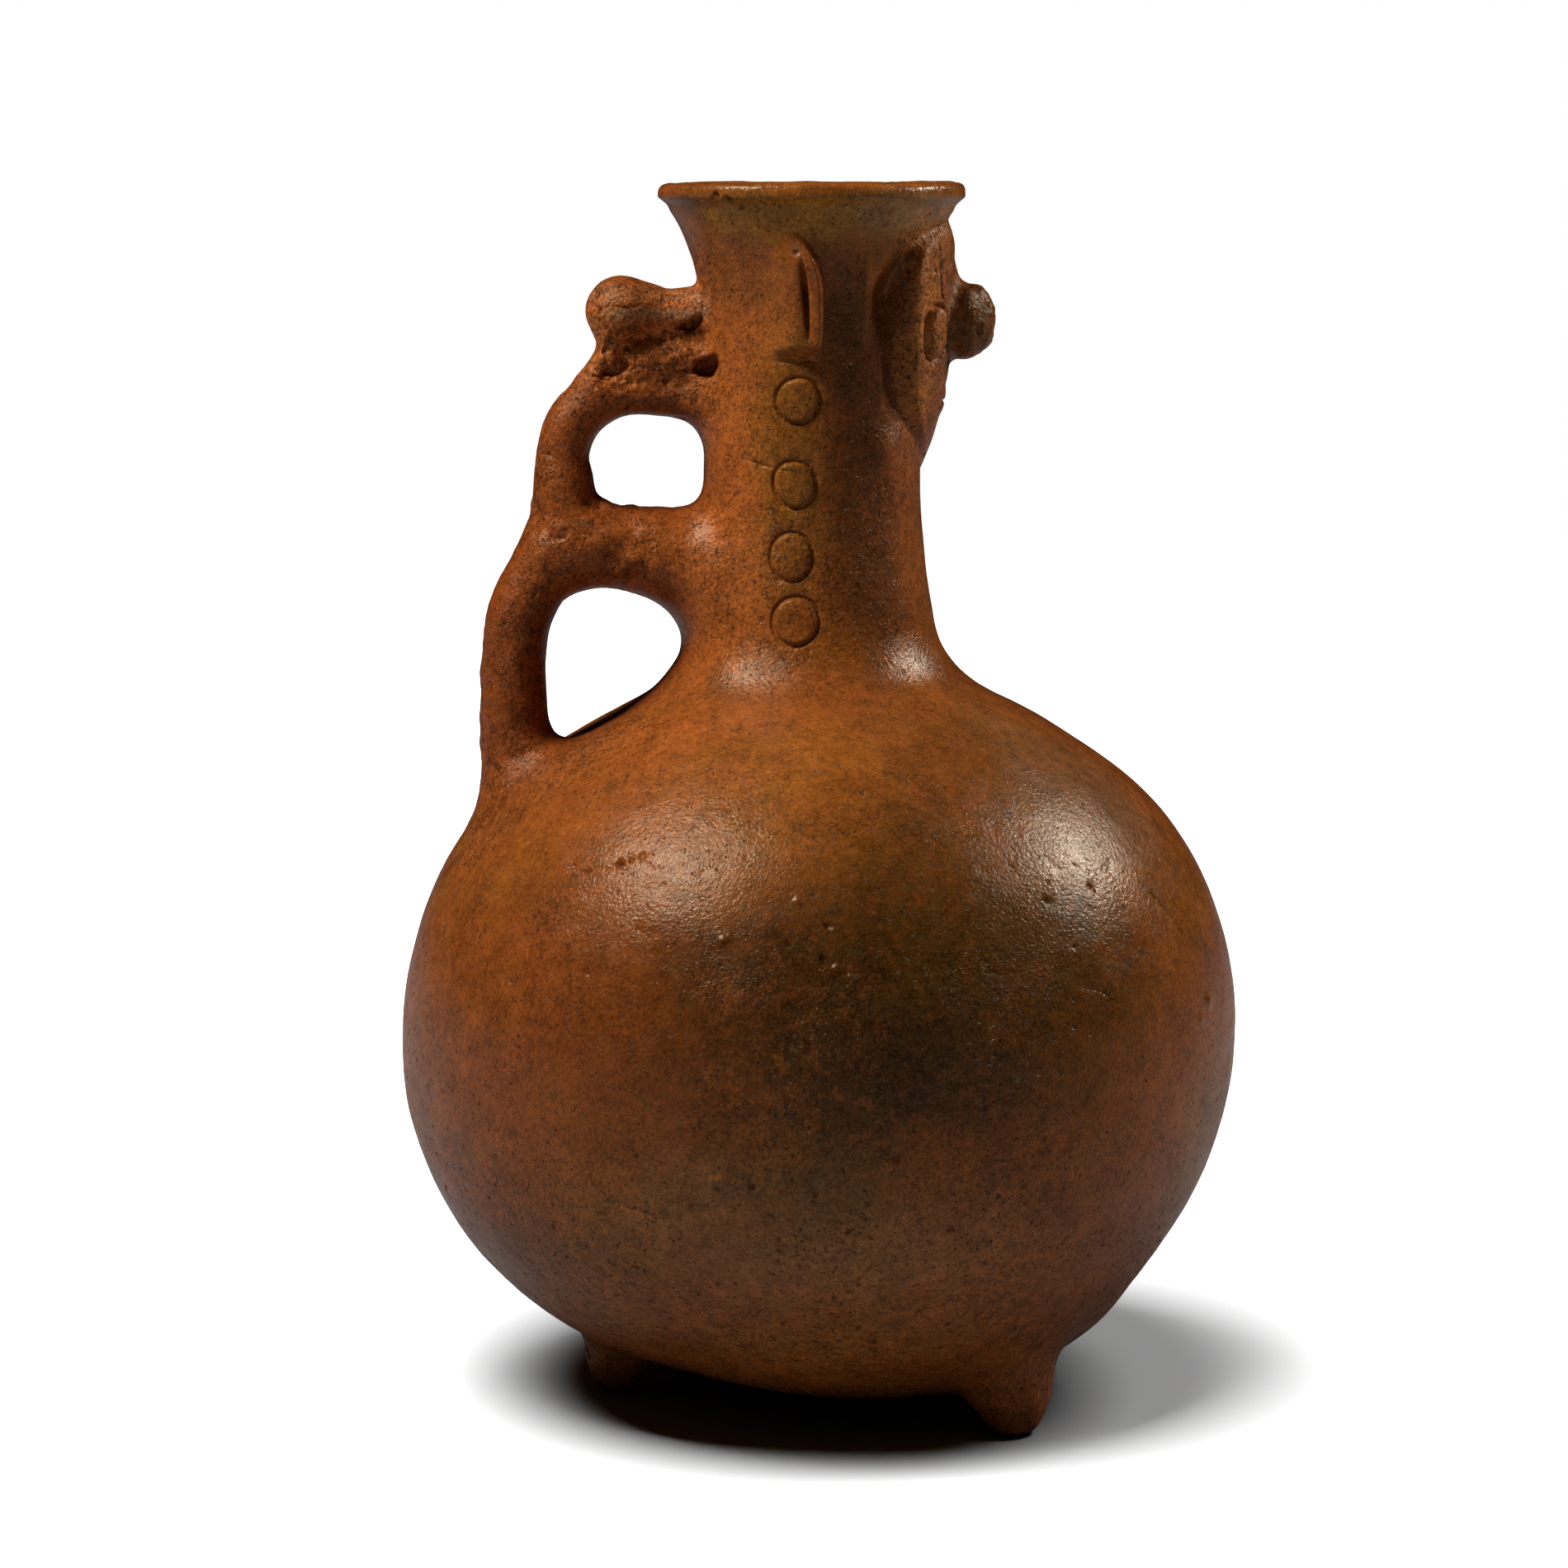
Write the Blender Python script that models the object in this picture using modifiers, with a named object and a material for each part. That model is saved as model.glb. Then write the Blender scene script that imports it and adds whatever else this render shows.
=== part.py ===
"""A hand-built terracotta jug.

A round belly stands on three feet. The tall neck has a flared rim and a modelled face, and the handle has
two stacked loops with a small animal on top. The jug is one fired piece, so it is one solid.

Metres, +Z up. The origin is on the floor under the centre of the belly. The face looks along +X and the
handle stands at -X.
"""

import math

import bmesh
import bpy
from mathutils import Matrix, Vector

# The belly. Its upper half is an ellipse and its underside a slightly flatter curve.
FLOOR_CLEARANCE = 0.0090
BELLY_RADIUS = 0.1131
BELLY_RISE = 0.0985
BELLY_DROP = 0.0950
UNDERSIDE_POWER = 2.35

# The neck and the rim. The length runs from the shoulder to the top of the lip.
NECK_LENGTH = 0.1325
NECK_RADIUS = 0.0290
NECK_SHIFT = -0.0022
NECK_FOOT_RADIUS = 0.0357
NECK_FOOT_LENGTH = 0.0400
NECK_FOOT_POWER = 1.7
SHOULDER_FILLET = 0.0060
RIM_RADIUS = 0.0410
RIM_FLARE_LENGTH = 0.0780
RIM_FLARE_POWER = 4.8
WALL = 0.0065
LIP_WALL = 0.0042
LIP_FACE = 0.0034

# The feet: one under the handle and two under the face.
SOLE_RADIUS = 0.0052
SOLE_EDGE = 0.0034
FOOT_SHAFT_RADIUS = 0.0092
FOOT_ROOT_RADIUS = 0.0132
BACK_FOOT_REACH = 0.0590
FRONT_FOOT_REACH = 0.0700
FRONT_FOOT_ANGLE = math.radians(47.0)

# The handle. Reaches are from the neck's side, and levels are shares of the neck's length above the shoulder.
STRAP_RADIUS = 0.0087
STRAP_ROOT_RADIUS = 0.0125
STRAP_REACH = 0.0520
CROSSBAR_RADIUS = 0.0104
CROSSBAR_LEVEL = 0.258
UPPER_STRAP_RADIUS = 0.0074
UPPER_STRAP_REACH = 0.0378
ARCH_RADIUS = 0.0055
ARCH_LEVEL = 0.574
STRAP_WIDENING = 1.15
ARCH_WIDENING = 1.50

# The animal on the arch, which looks away from the neck.
HEAD_RADIUS = 0.0091
HEAD_REACH = 0.0215
HEAD_DROP = 0.0335
TRUNK_RADIUS = 0.0069
LIMB_RADIUS = 0.0045
CHEST_RADII = (0.0145, 0.0068, 0.0105)
WEB_HALF_WIDTH = 0.0022

# The cut slots between its limbs, as (distance from the neck's side, drop below the rim).
SLOT_OUTLINES = {
    "back slot": [(0.0073, 0.0370), (-0.0011, 0.0340), (0.0018, 0.0390)],
    "hind slot": [(0.0018, 0.0480), (-0.0041, 0.0500), (-0.0054, 0.0466), (-0.0024, 0.0447)],
    "front slot": [(0.0280, 0.0507), (0.0210, 0.0490), (0.0175, 0.0466), (0.0195, 0.0440)],
}

# The face. Drops are below the rim.
FACE_PROJECTION = 0.0072
FACE_DROP = 0.0420
FACE_RADII = (0.0170, 0.0235, 0.0355)
BROW_DROP = 0.0185
BROW_RADII = (0.0110, 0.0150, 0.0125)
NOSE_DROP = 0.0355
NOSE_RADII = (0.0112, 0.0088, 0.0115)
BRIDGE_RADII = (0.0060, 0.0062, 0.0180)
MOUTH_DROP = 0.0565
MOUTH_RADII = (0.0032, 0.0080, 0.0038)
EYE_DROP = 0.0385
EYE_ANGLE = math.radians(27.0)
EYE_RADIUS = 0.0062
EYE_HEIGHT = 0.0026
EAR_DROP = 0.0285
EAR_ANGLE = math.radians(97.0)
EAR_RADII = (0.0044, 0.0092, 0.0158)
EAR_LEAN = math.radians(9.0)
EAR_GROOVE_RADII = (0.0030, 0.0012, 0.0110)

# The column of round pellets down each side of the neck, below the ear.
PELLET_RADIUS = 0.0061
PELLET_HEIGHT = 0.0013
PELLET_ANGLE = math.radians(103.0)
PELLET_DROPS = (0.0565, 0.0785, 0.0975, 0.1143)

# How finely the solid is faceted.
TURN_STEPS = 44
FOOT_STEPS = 18
NECK_ROWS = 13
UPPER_BELLY_ROWS = 8
UNDERSIDE_ROWS = 9
FILLET_STEPS = 3
TUBE_RESOLUTION = 3
TUBE_ROWS_A_CORNER = 3
LUMP_SEGMENTS = 14
LUMP_RINGS = 8
WELD_DISTANCE = 0.00001

SHARP_ANGLE = math.radians(40.0)
TERRACOTTA = (0.36, 0.13, 0.045, 1.0)
TERRACOTTA_ROUGHNESS = 0.45

# Heights that follow from the sizes.
BELLY_Z = FLOOR_CLEARANCE + BELLY_DROP
SHOULDER_Z = BELLY_Z + BELLY_RISE * math.sqrt(1.0 - (NECK_FOOT_RADIUS / BELLY_RADIUS) ** 2)
RIM_Z = SHOULDER_Z + NECK_LENGTH
LIP_Z = RIM_Z - LIP_FACE
NECK_FOOT_Z = SHOULDER_Z + SHOULDER_FILLET
CROSSBAR_Z = SHOULDER_Z + CROSSBAR_LEVEL * NECK_LENGTH
ARCH_Z = SHOULDER_Z + ARCH_LEVEL * NECK_LENGTH
HEAD_Z = RIM_Z - HEAD_DROP


def clear_scene():
    for thing in list(bpy.data.objects):
        bpy.data.objects.remove(thing, do_unlink=True)


def make_collection(name):
    collection = bpy.data.collections.new(name)
    bpy.context.scene.collection.children.link(collection)
    return collection


def make_terracotta():
    material = bpy.data.materials.new("burnished terracotta")
    material.use_nodes = True
    shader = material.node_tree.nodes["Principled BSDF"]
    shader.inputs["Base Color"].default_value = TERRACOTTA
    shader.inputs["Roughness"].default_value = TERRACOTTA_ROUGHNESS
    shader.inputs["Metallic"].default_value = 0.0
    return material


# The vessel's outline


def shoulder_height(radius):
    """Height of the belly's upper surface at a distance from the axis."""
    share = min(radius / BELLY_RADIUS, 1.0)
    return BELLY_Z + BELLY_RISE * math.sqrt(1.0 - share**2)


def underside_height(radius):
    """Height of the belly's underside at a distance from the axis."""
    share = min(radius / BELLY_RADIUS, 1.0)
    return BELLY_Z - BELLY_DROP * (1.0 - share**UNDERSIDE_POWER) ** (1.0 / UNDERSIDE_POWER)


def neck_radius(height):
    """Outer radius of the neck, its spreading foot and its flare at a height."""
    foot_share = 1.0 - (height - NECK_FOOT_Z) / NECK_FOOT_LENGTH
    flare_share = 1.0 - (LIP_Z - height) / RIM_FLARE_LENGTH
    foot = max(0.0, min(foot_share, 1.0)) ** NECK_FOOT_POWER
    flare = max(0.0, min(flare_share, 1.0)) ** RIM_FLARE_POWER
    return NECK_RADIUS + (NECK_FOOT_RADIUS - NECK_RADIUS) * foot + (RIM_RADIUS - NECK_RADIUS) * flare


def neck_side(height):
    """X of the neck's surface on the handle's side."""
    return NECK_SHIFT - neck_radius(height)


def on_neck(angle, height, lift=0.0):
    """A point at an angle from the face, on the neck's surface or lifted off it."""
    radius = neck_radius(height) + lift
    return Vector((NECK_SHIFT + radius * math.cos(angle), radius * math.sin(angle), height))


def lip_points():
    """The rounded outer half of the lip, as (radius, height)."""
    edge = LIP_WALL / 3.0
    return [
        Vector((RIM_RADIUS - 1.6 * edge, RIM_Z)),
        Vector((RIM_RADIUS - 0.5 * edge, RIM_Z - 0.35 * edge)),
        Vector((RIM_RADIUS, RIM_Z - 1.2 * edge)),
        Vector((RIM_RADIUS, LIP_Z)),
    ]


def neck_points():
    points = []
    for row in range(1, NECK_ROWS):
        share = (row / NECK_ROWS) ** 1.25
        height = LIP_Z + (NECK_FOOT_Z - LIP_Z) * share
        points.append(Vector((neck_radius(height), height)))
    return points


def shoulder_points():
    """A smooth curve from the upright neck foot into the shoulder."""
    start = Vector((NECK_FOOT_RADIUS, NECK_FOOT_Z))
    corner = Vector((NECK_FOOT_RADIUS, SHOULDER_Z))
    end_radius = NECK_FOOT_RADIUS + SHOULDER_FILLET
    end = Vector((end_radius, shoulder_height(end_radius)))
    points = []
    for step in range(FILLET_STEPS + 1):
        t = step / FILLET_STEPS
        points.append(start * (1.0 - t) ** 2 + corner * 2.0 * t * (1.0 - t) + end * t**2)
    return points


def belly_points():
    points = []
    first_angle = math.acos((NECK_FOOT_RADIUS + 2.0 * SHOULDER_FILLET) / BELLY_RADIUS)
    for row in range(UPPER_BELLY_ROWS):
        angle = first_angle * (1.0 - row / UPPER_BELLY_ROWS)
        points.append(Vector((BELLY_RADIUS * math.cos(angle), BELLY_Z + BELLY_RISE * math.sin(angle))))
    bend = 2.0 / UNDERSIDE_POWER
    for row in range(UNDERSIDE_ROWS):
        angle = 0.5 * math.pi * row / UNDERSIDE_ROWS
        radius = BELLY_RADIUS * math.cos(angle) ** bend
        points.append(Vector((radius, BELLY_Z - BELLY_DROP * math.sin(angle) ** bend)))
    points.append(Vector((0.0, FLOOR_CLEARANCE)))
    return points


def inset_outline(outline, wall, lip_wall):
    """The outline moved inwards by the wall, which thins towards the lip."""
    moved = []
    for index, point in enumerate(outline):
        before = outline[max(index - 1, 0)]
        after = outline[min(index + 1, len(outline) - 1)]
        along = (after - before).normalized()
        inward = Vector((along.y, -along.x))
        if point.x == 0.0:
            inward = Vector((0.0, 1.0))
        below_lip = min(1.0, (RIM_Z - point.y) / (0.5 * RIM_FLARE_LENGTH))
        moved.append(point + inward * (lip_wall + (wall - lip_wall) * below_lip))
    return moved


# Solids from outlines and curves


def settled_object(thing, name, collection):
    """Replaces a curve or a turned outline by an object that holds its finished, welded mesh."""
    bpy.context.view_layer.update()
    graph = bpy.context.evaluated_depsgraph_get()
    mesh = bpy.data.meshes.new_from_object(thing.evaluated_get(graph))
    mesh.name = name
    mesh.transform(thing.matrix_world)
    work = bmesh.new()
    work.from_mesh(mesh)
    bmesh.ops.remove_doubles(work, verts=work.verts, dist=WELD_DISTANCE)
    bmesh.ops.recalc_face_normals(work, faces=work.faces)
    work.to_mesh(mesh)
    work.free()
    solid = bpy.data.objects.new(name, mesh)
    bpy.data.objects.remove(thing, do_unlink=True)
    collection.objects.link(solid)
    return solid


def turned_solid(name, outline, steps, collection, place=(0.0, 0.0, 0.0)):
    """An outline that ends on the axis at both ends, turned about +Z."""
    mesh = bpy.data.meshes.new(f"{name} outline")
    points = [(point.x, 0.0, point.y) for point in outline]
    mesh.from_pydata(points, [(index, index + 1) for index in range(len(points) - 1)], [])
    turned = bpy.data.objects.new(f"{name} outline", mesh)
    turned.location = place
    collection.objects.link(turned)
    screw = turned.modifiers.new("turn", "SCREW")
    screw.axis = "Z"
    screw.steps = steps
    screw.render_steps = steps
    screw.use_merge_vertices = True
    screw.merge_threshold = WELD_DISTANCE
    return settled_object(turned, name, collection)


def smooth_corners(corners):
    """A Catmull-Rom curve through corners that are Vectors of (x, z, radius)."""
    points = []
    for index in range(len(corners) - 1):
        first = corners[max(index - 1, 0)]
        second = corners[index]
        third = corners[index + 1]
        fourth = corners[min(index + 2, len(corners) - 1)]
        for row in range(TUBE_ROWS_A_CORNER):
            t = row / TUBE_ROWS_A_CORNER
            linear = third - first
            square = 2.0 * first - 5.0 * second + 4.0 * third - fourth
            cube = 3.0 * second - first - 3.0 * third + fourth
            points.append(second + 0.5 * (linear * t + square * t**2 + cube * t**3))
    points.append(corners[-1])
    return points


def clay_roll(name, corners, widening, collection):
    """A roll of clay in the XZ plane through (x, z, radius), wider across Y by the given factor."""
    curve = bpy.data.curves.new(name, "CURVE")
    curve.dimensions = "3D"
    curve.bevel_depth = 1.0
    curve.bevel_resolution = TUBE_RESOLUTION
    curve.use_fill_caps = True
    points = smooth_corners([Vector(corner) for corner in corners])
    spline = curve.splines.new("POLY")
    spline.points.add(len(points) - 1)
    for knot, point in zip(spline.points, points):
        knot.co = (point.x, 0.0, point.y, 1.0)
        knot.radius = point.z
    roll = bpy.data.objects.new(name, curve)
    roll.scale.y = widening
    collection.objects.link(roll)
    return settled_object(roll, name, collection)


def lump(name, centre, radii, collection, turn=0.0, lean=0.0, segments=LUMP_SEGMENTS, rings=LUMP_RINGS):
    """An ellipsoid of clay, turned about +Z. A positive lean tips its top outwards."""
    work = bmesh.new()
    bmesh.ops.create_uvsphere(work, u_segments=segments, v_segments=rings, radius=1.0)
    mesh = bpy.data.meshes.new(name)
    work.to_mesh(mesh)
    work.free()
    rotation = Matrix.Rotation(turn, 4, "Z") @ Matrix.Rotation(lean, 4, "Y")
    mesh.transform(Matrix.Translation(centre) @ rotation @ Matrix.Diagonal((*radii, 1.0)))
    shape = bpy.data.objects.new(name, mesh)
    collection.objects.link(shape)
    return shape


def plate(name, corners, middle_y, thickness, collection):
    """A flat outline in the XZ plane, given thickness along Y."""
    curve = bpy.data.curves.new(name, "CURVE")
    curve.dimensions = "2D"
    curve.fill_mode = "BOTH"
    curve.extrude = 0.5 * thickness
    spline = curve.splines.new("POLY")
    spline.points.add(len(corners) - 1)
    for knot, (x, z) in zip(spline.points, corners):
        knot.co = (x, z, 0.0, 1.0)
    spline.use_cyclic_u = True
    shape = bpy.data.objects.new(name, curve)
    shape.rotation_euler = (0.5 * math.pi, 0.0, 0.0)
    shape.location = (0.0, middle_y, 0.0)
    collection.objects.link(shape)
    return settled_object(shape, name, collection)


def each_side():
    """The two sides of the jug, as the sign of Y and a word."""
    return ((-1.0, "right"), (1.0, "left"))


# The jug's parts


def shift_neck(mesh):
    """Moves the neck off the belly's axis, and lets the shift fade out down the shoulder."""
    fade_length = 0.3 * BELLY_RISE
    for vertex in mesh.vertices:
        share = min(1.0, max(0.0, 1.0 - (NECK_FOOT_Z - vertex.co.z) / fade_length))
        vertex.co.x += NECK_SHIFT * share**2 * (3.0 - 2.0 * share)


def make_vessel(collection):
    outer = lip_points() + neck_points() + shoulder_points() + belly_points()
    inner = inset_outline(outer, WALL, LIP_WALL)
    inner.reverse()
    inside = [inner[0]] + inner[2:-3:2] + [inner[-3]]
    vessel = turned_solid("jug", inside + outer, TURN_STEPS, collection)
    shift_neck(vessel.data)
    return vessel


def make_wall_middle(collection):
    """A solid up to the middle of the wall, which trims the clay that is applied outside."""
    outer = lip_points()[-1:] + neck_points() + shoulder_points() + belly_points()
    middle = inset_outline(outer, 0.5 * WALL, 0.5 * LIP_WALL)
    above = RIM_Z + WALL
    top = [Vector((0.0, above)), Vector((middle[0].x, above))]
    solid = turned_solid("wall middle", top + middle, TURN_STEPS, collection)
    shift_neck(solid.data)
    return solid


def make_foot(name, angle, reach, collection):
    """A stump with a flat sole, which spreads into the belly's underside."""
    belly_z = underside_height(reach)
    top_z = underside_height(reach + FOOT_ROOT_RADIUS) + 0.4 * WALL
    outline = [
        Vector((0.0, top_z)),
        Vector((FOOT_ROOT_RADIUS, top_z)),
        Vector((FOOT_ROOT_RADIUS, 0.5 * (belly_z + top_z))),
        Vector((0.5 * (FOOT_ROOT_RADIUS + FOOT_SHAFT_RADIUS), belly_z)),
        Vector((1.06 * FOOT_SHAFT_RADIUS, 0.72 * belly_z)),
        Vector((FOOT_SHAFT_RADIUS, 0.40 * belly_z)),
        Vector((SOLE_RADIUS + SOLE_EDGE, 1.1 * SOLE_EDGE)),
        Vector((SOLE_RADIUS + 0.72 * SOLE_EDGE, 0.3 * SOLE_EDGE)),
        Vector((SOLE_RADIUS, 0.0)),
        Vector((0.0, 0.0)),
    ]
    place = (reach * math.cos(angle), reach * math.sin(angle), 0.0)
    return turned_solid(name, outline, FOOT_STEPS, collection, place)


def make_feet(collection):
    return [
        make_foot("back foot", math.pi, BACK_FOOT_REACH, collection),
        make_foot("right front foot", -FRONT_FOOT_ANGLE, FRONT_FOOT_REACH, collection),
        make_foot("left front foot", FRONT_FOOT_ANGLE, FRONT_FOOT_REACH, collection),
    ]


def make_handle(collection):
    """The lower loop stands on the shoulder, and the upper loop on the lower one's knee."""
    strap_x = neck_side(CROSSBAR_Z) - STRAP_REACH
    upper_x = neck_side(ARCH_Z) - UPPER_STRAP_REACH
    shoulder_z = shoulder_height(-strap_x)
    root_z = shoulder_height(-strap_x + STRAP_ROOT_RADIUS) - WALL
    inside_x = NECK_SHIFT - 0.45 * NECK_RADIUS
    lower = clay_roll(
        "lower loop",
        [
            (strap_x - 0.0015, root_z, STRAP_ROOT_RADIUS),
            (strap_x - 0.0005, shoulder_z, 1.16 * STRAP_RADIUS),
            (strap_x, 0.72 * shoulder_z + 0.28 * CROSSBAR_Z, STRAP_RADIUS),
            (strap_x, 0.35 * shoulder_z + 0.65 * CROSSBAR_Z, STRAP_RADIUS),
            (strap_x + 0.35 * STRAP_RADIUS, CROSSBAR_Z - 1.1 * CROSSBAR_RADIUS, 1.08 * STRAP_RADIUS),
            (strap_x + 1.5 * STRAP_RADIUS, CROSSBAR_Z - 0.15 * CROSSBAR_RADIUS, CROSSBAR_RADIUS),
            (0.5 * (strap_x + neck_side(CROSSBAR_Z)), CROSSBAR_Z, CROSSBAR_RADIUS),
            (neck_side(CROSSBAR_Z), CROSSBAR_Z - 0.1 * CROSSBAR_RADIUS, 1.12 * CROSSBAR_RADIUS),
            (inside_x, CROSSBAR_Z - 0.1 * CROSSBAR_RADIUS, 1.12 * CROSSBAR_RADIUS),
        ],
        STRAP_WIDENING,
        collection,
    )
    upper = clay_roll(
        "upper strap",
        [
            (upper_x - 0.5 * UPPER_STRAP_RADIUS, CROSSBAR_Z, 1.3 * UPPER_STRAP_RADIUS),
            (upper_x, CROSSBAR_Z + 1.2 * CROSSBAR_RADIUS, 1.22 * UPPER_STRAP_RADIUS),
            (upper_x + 0.0003, 0.5 * (CROSSBAR_Z + ARCH_Z) + 0.6 * ARCH_RADIUS, UPPER_STRAP_RADIUS),
            (upper_x + 0.3 * UPPER_STRAP_RADIUS, ARCH_Z - 0.7 * ARCH_RADIUS, 0.95 * UPPER_STRAP_RADIUS),
            (upper_x + 1.2 * UPPER_STRAP_RADIUS, ARCH_Z + 0.3 * ARCH_RADIUS, 0.85 * UPPER_STRAP_RADIUS),
            (upper_x + 2.2 * UPPER_STRAP_RADIUS, ARCH_Z, ARCH_RADIUS),
        ],
        STRAP_WIDENING,
        collection,
    )
    arch = clay_roll(
        "arch",
        [
            (upper_x + 1.2 * UPPER_STRAP_RADIUS, ARCH_Z, ARCH_RADIUS),
            (0.5 * (upper_x + neck_side(ARCH_Z)), ARCH_Z, ARCH_RADIUS),
            (neck_side(ARCH_Z), ARCH_Z - 0.3 * ARCH_RADIUS, 1.35 * ARCH_RADIUS),
            (inside_x, ARCH_Z - 0.3 * ARCH_RADIUS, 1.35 * ARCH_RADIUS),
        ],
        ARCH_WIDENING,
        collection,
    )
    return [lower, upper, arch]


def make_animal(collection):
    side_x = neck_side(HEAD_Z)
    head_x = side_x - HEAD_REACH
    middle_x = 0.5 * (head_x + side_x)
    trunk = clay_roll(
        "animal trunk",
        [
            (head_x + 0.3 * HEAD_RADIUS, HEAD_Z, 0.9 * HEAD_RADIUS),
            (middle_x, HEAD_Z, TRUNK_RADIUS),
            (side_x + 0.3 * WALL, HEAD_Z, 1.15 * TRUNK_RADIUS),
        ],
        1.0,
        collection,
    )
    rump = clay_roll(
        "animal rump",
        [
            (side_x - 0.3 * LIMB_RADIUS, HEAD_Z - 0.4 * TRUNK_RADIUS, 1.25 * LIMB_RADIUS),
            (side_x, ARCH_Z, 1.5 * LIMB_RADIUS),
        ],
        1.3,
        collection,
    )
    forelimb = clay_roll(
        "animal forelimb",
        [
            (head_x, HEAD_Z - 0.7 * HEAD_RADIUS, 1.15 * LIMB_RADIUS),
            (head_x - 0.6 * LIMB_RADIUS, 0.5 * (HEAD_Z + ARCH_Z), LIMB_RADIUS),
            (head_x - 1.9 * LIMB_RADIUS, ARCH_Z + 0.2 * ARCH_RADIUS, 1.3 * LIMB_RADIUS),
        ],
        1.3,
        collection,
    )
    head = lump("animal head", (head_x, 0.0, HEAD_Z), (HEAD_RADIUS,) * 3, collection)
    chest = lump("animal chest", (middle_x, 0.0, 0.5 * (HEAD_Z + ARCH_Z)), CHEST_RADII, collection)
    return [head, chest, trunk, rump, forelimb]


def make_slots(collection):
    """The cut slots between the animal's limbs, from both sides up to a thin web."""
    side_x = neck_side(HEAD_Z)
    depth = 2.0 * CHEST_RADII[1]
    slots = []
    for name, outline in SLOT_OUTLINES.items():
        corners = [(side_x - reach, RIM_Z - drop) for reach, drop in outline]
        for sign, side in each_side():
            middle_y = sign * (WEB_HALF_WIDTH + 0.5 * depth)
            slots.append(plate(f"{name} {side}", corners, middle_y, depth, collection))
    return slots


def make_face(collection):
    """A raised oval face with a brow, a big nose, round eyes and a small mouth."""
    front_x = NECK_SHIFT + NECK_RADIUS + FACE_PROJECTION
    bridge_z = RIM_Z - 0.5 * (BROW_DROP + NOSE_DROP)
    brow_x = front_x + 0.0015 - BROW_RADII[0]
    face_x = front_x - FACE_RADII[0]
    face = [
        lump("face oval", (face_x, 0.0, RIM_Z - FACE_DROP), FACE_RADII, collection, segments=22, rings=14),
        lump("brow", (brow_x, 0.0, RIM_Z - BROW_DROP), BROW_RADII, collection),
        lump("nose", (front_x + 0.001, 0.0, RIM_Z - NOSE_DROP), NOSE_RADII, collection),
        lump("nose bridge", (front_x - 0.004, 0.0, bridge_z), BRIDGE_RADII, collection),
        lump("mouth", (front_x - 0.0030, 0.0, RIM_Z - MOUTH_DROP), MOUTH_RADII, collection),
    ]
    for sign, side in each_side():
        place = on_neck(sign * EYE_ANGLE, RIM_Z - EYE_DROP, FACE_PROJECTION - 0.5 * EYE_HEIGHT)
        radii = (EYE_HEIGHT, EYE_RADIUS, EYE_RADIUS)
        face.append(lump(f"{side} eye", place, radii, collection, turn=sign * EYE_ANGLE))
    return face


def make_ears(collection):
    ears = []
    for sign, side in each_side():
        place = on_neck(sign * EAR_ANGLE, RIM_Z - EAR_DROP)
        turn = sign * EAR_ANGLE
        ears.append(lump(f"{side} ear", place, EAR_RADII, collection, turn=turn, lean=EAR_LEAN))
    return ears


def make_ear_grooves(collection):
    grooves = []
    for sign, side in each_side():
        place = on_neck(sign * EAR_ANGLE, RIM_Z - EAR_DROP, EAR_RADII[0])
        turn = sign * EAR_ANGLE
        radii = EAR_GROOVE_RADII
        grooves.append(lump(f"{side} ear groove", place, radii, collection, turn=turn, lean=EAR_LEAN))
    return grooves


def make_pellets(collection):
    radii = (PELLET_HEIGHT, PELLET_RADIUS, PELLET_RADIUS)
    pellets = []
    for sign, side in each_side():
        turn = sign * PELLET_ANGLE
        for number, drop in enumerate(PELLET_DROPS, start=1):
            place = on_neck(turn, RIM_Z - drop)
            name = f"{side} pellet {number}"
            pellets.append(lump(name, place, radii, collection, turn=turn, segments=12, rings=6))
    return pellets


def boolean(target, operation, other):
    modifier = target.modifiers.new(f"{operation.lower()} {other.name}", "BOOLEAN")
    modifier.operation = operation
    modifier.object = other
    modifier.solver = "EXACT"


def main():
    clear_scene()
    model = make_collection("terracotta jug")
    helpers = make_collection("applied clay and cutters")
    jug = make_vessel(model)
    wall_middle = make_wall_middle(helpers)
    applied = make_handle(helpers) + make_animal(helpers) + make_face(helpers)
    applied += make_ears(helpers) + make_pellets(helpers) + make_feet(helpers)
    cutters = make_slots(helpers) + make_ear_grooves(helpers)
    clay = applied[0]
    for piece in applied[1:]:
        boolean(clay, "UNION", piece)
    boolean(clay, "DIFFERENCE", wall_middle)
    boolean(jug, "UNION", clay)
    for cutter in cutters:
        boolean(jug, "DIFFERENCE", cutter)
    for piece in applied + cutters + [wall_middle]:
        piece.hide_render = True
        piece.display_type = "WIRE"
    jug.data.materials.append(make_terracotta())
    jug.data.shade_smooth()
    jug.data.set_sharp_from_angle(angle=SHARP_ANGLE)


main()
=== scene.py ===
"""The looks of a hand-built terracotta jug: its worn, burnished clay, and a pale studio around it.

The clay is written as one distance field, which is below zero inside the wall. Soft joins between the parts
of the field become the smoothed joints of the clay. A mesh is drawn over the field, made finer where the
relief is small, settled onto the field and thinned out where the clay is even.

Metres, +Z up. The origin is on the floor under the centre of the belly. The face looks along +X and the
handle stands at -X. Pixels are places in the photograph, which is 1900 pixels wide.
"""

import math

import bmesh
import bpy
import numpy as np
from mathutils import Matrix, Vector


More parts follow.
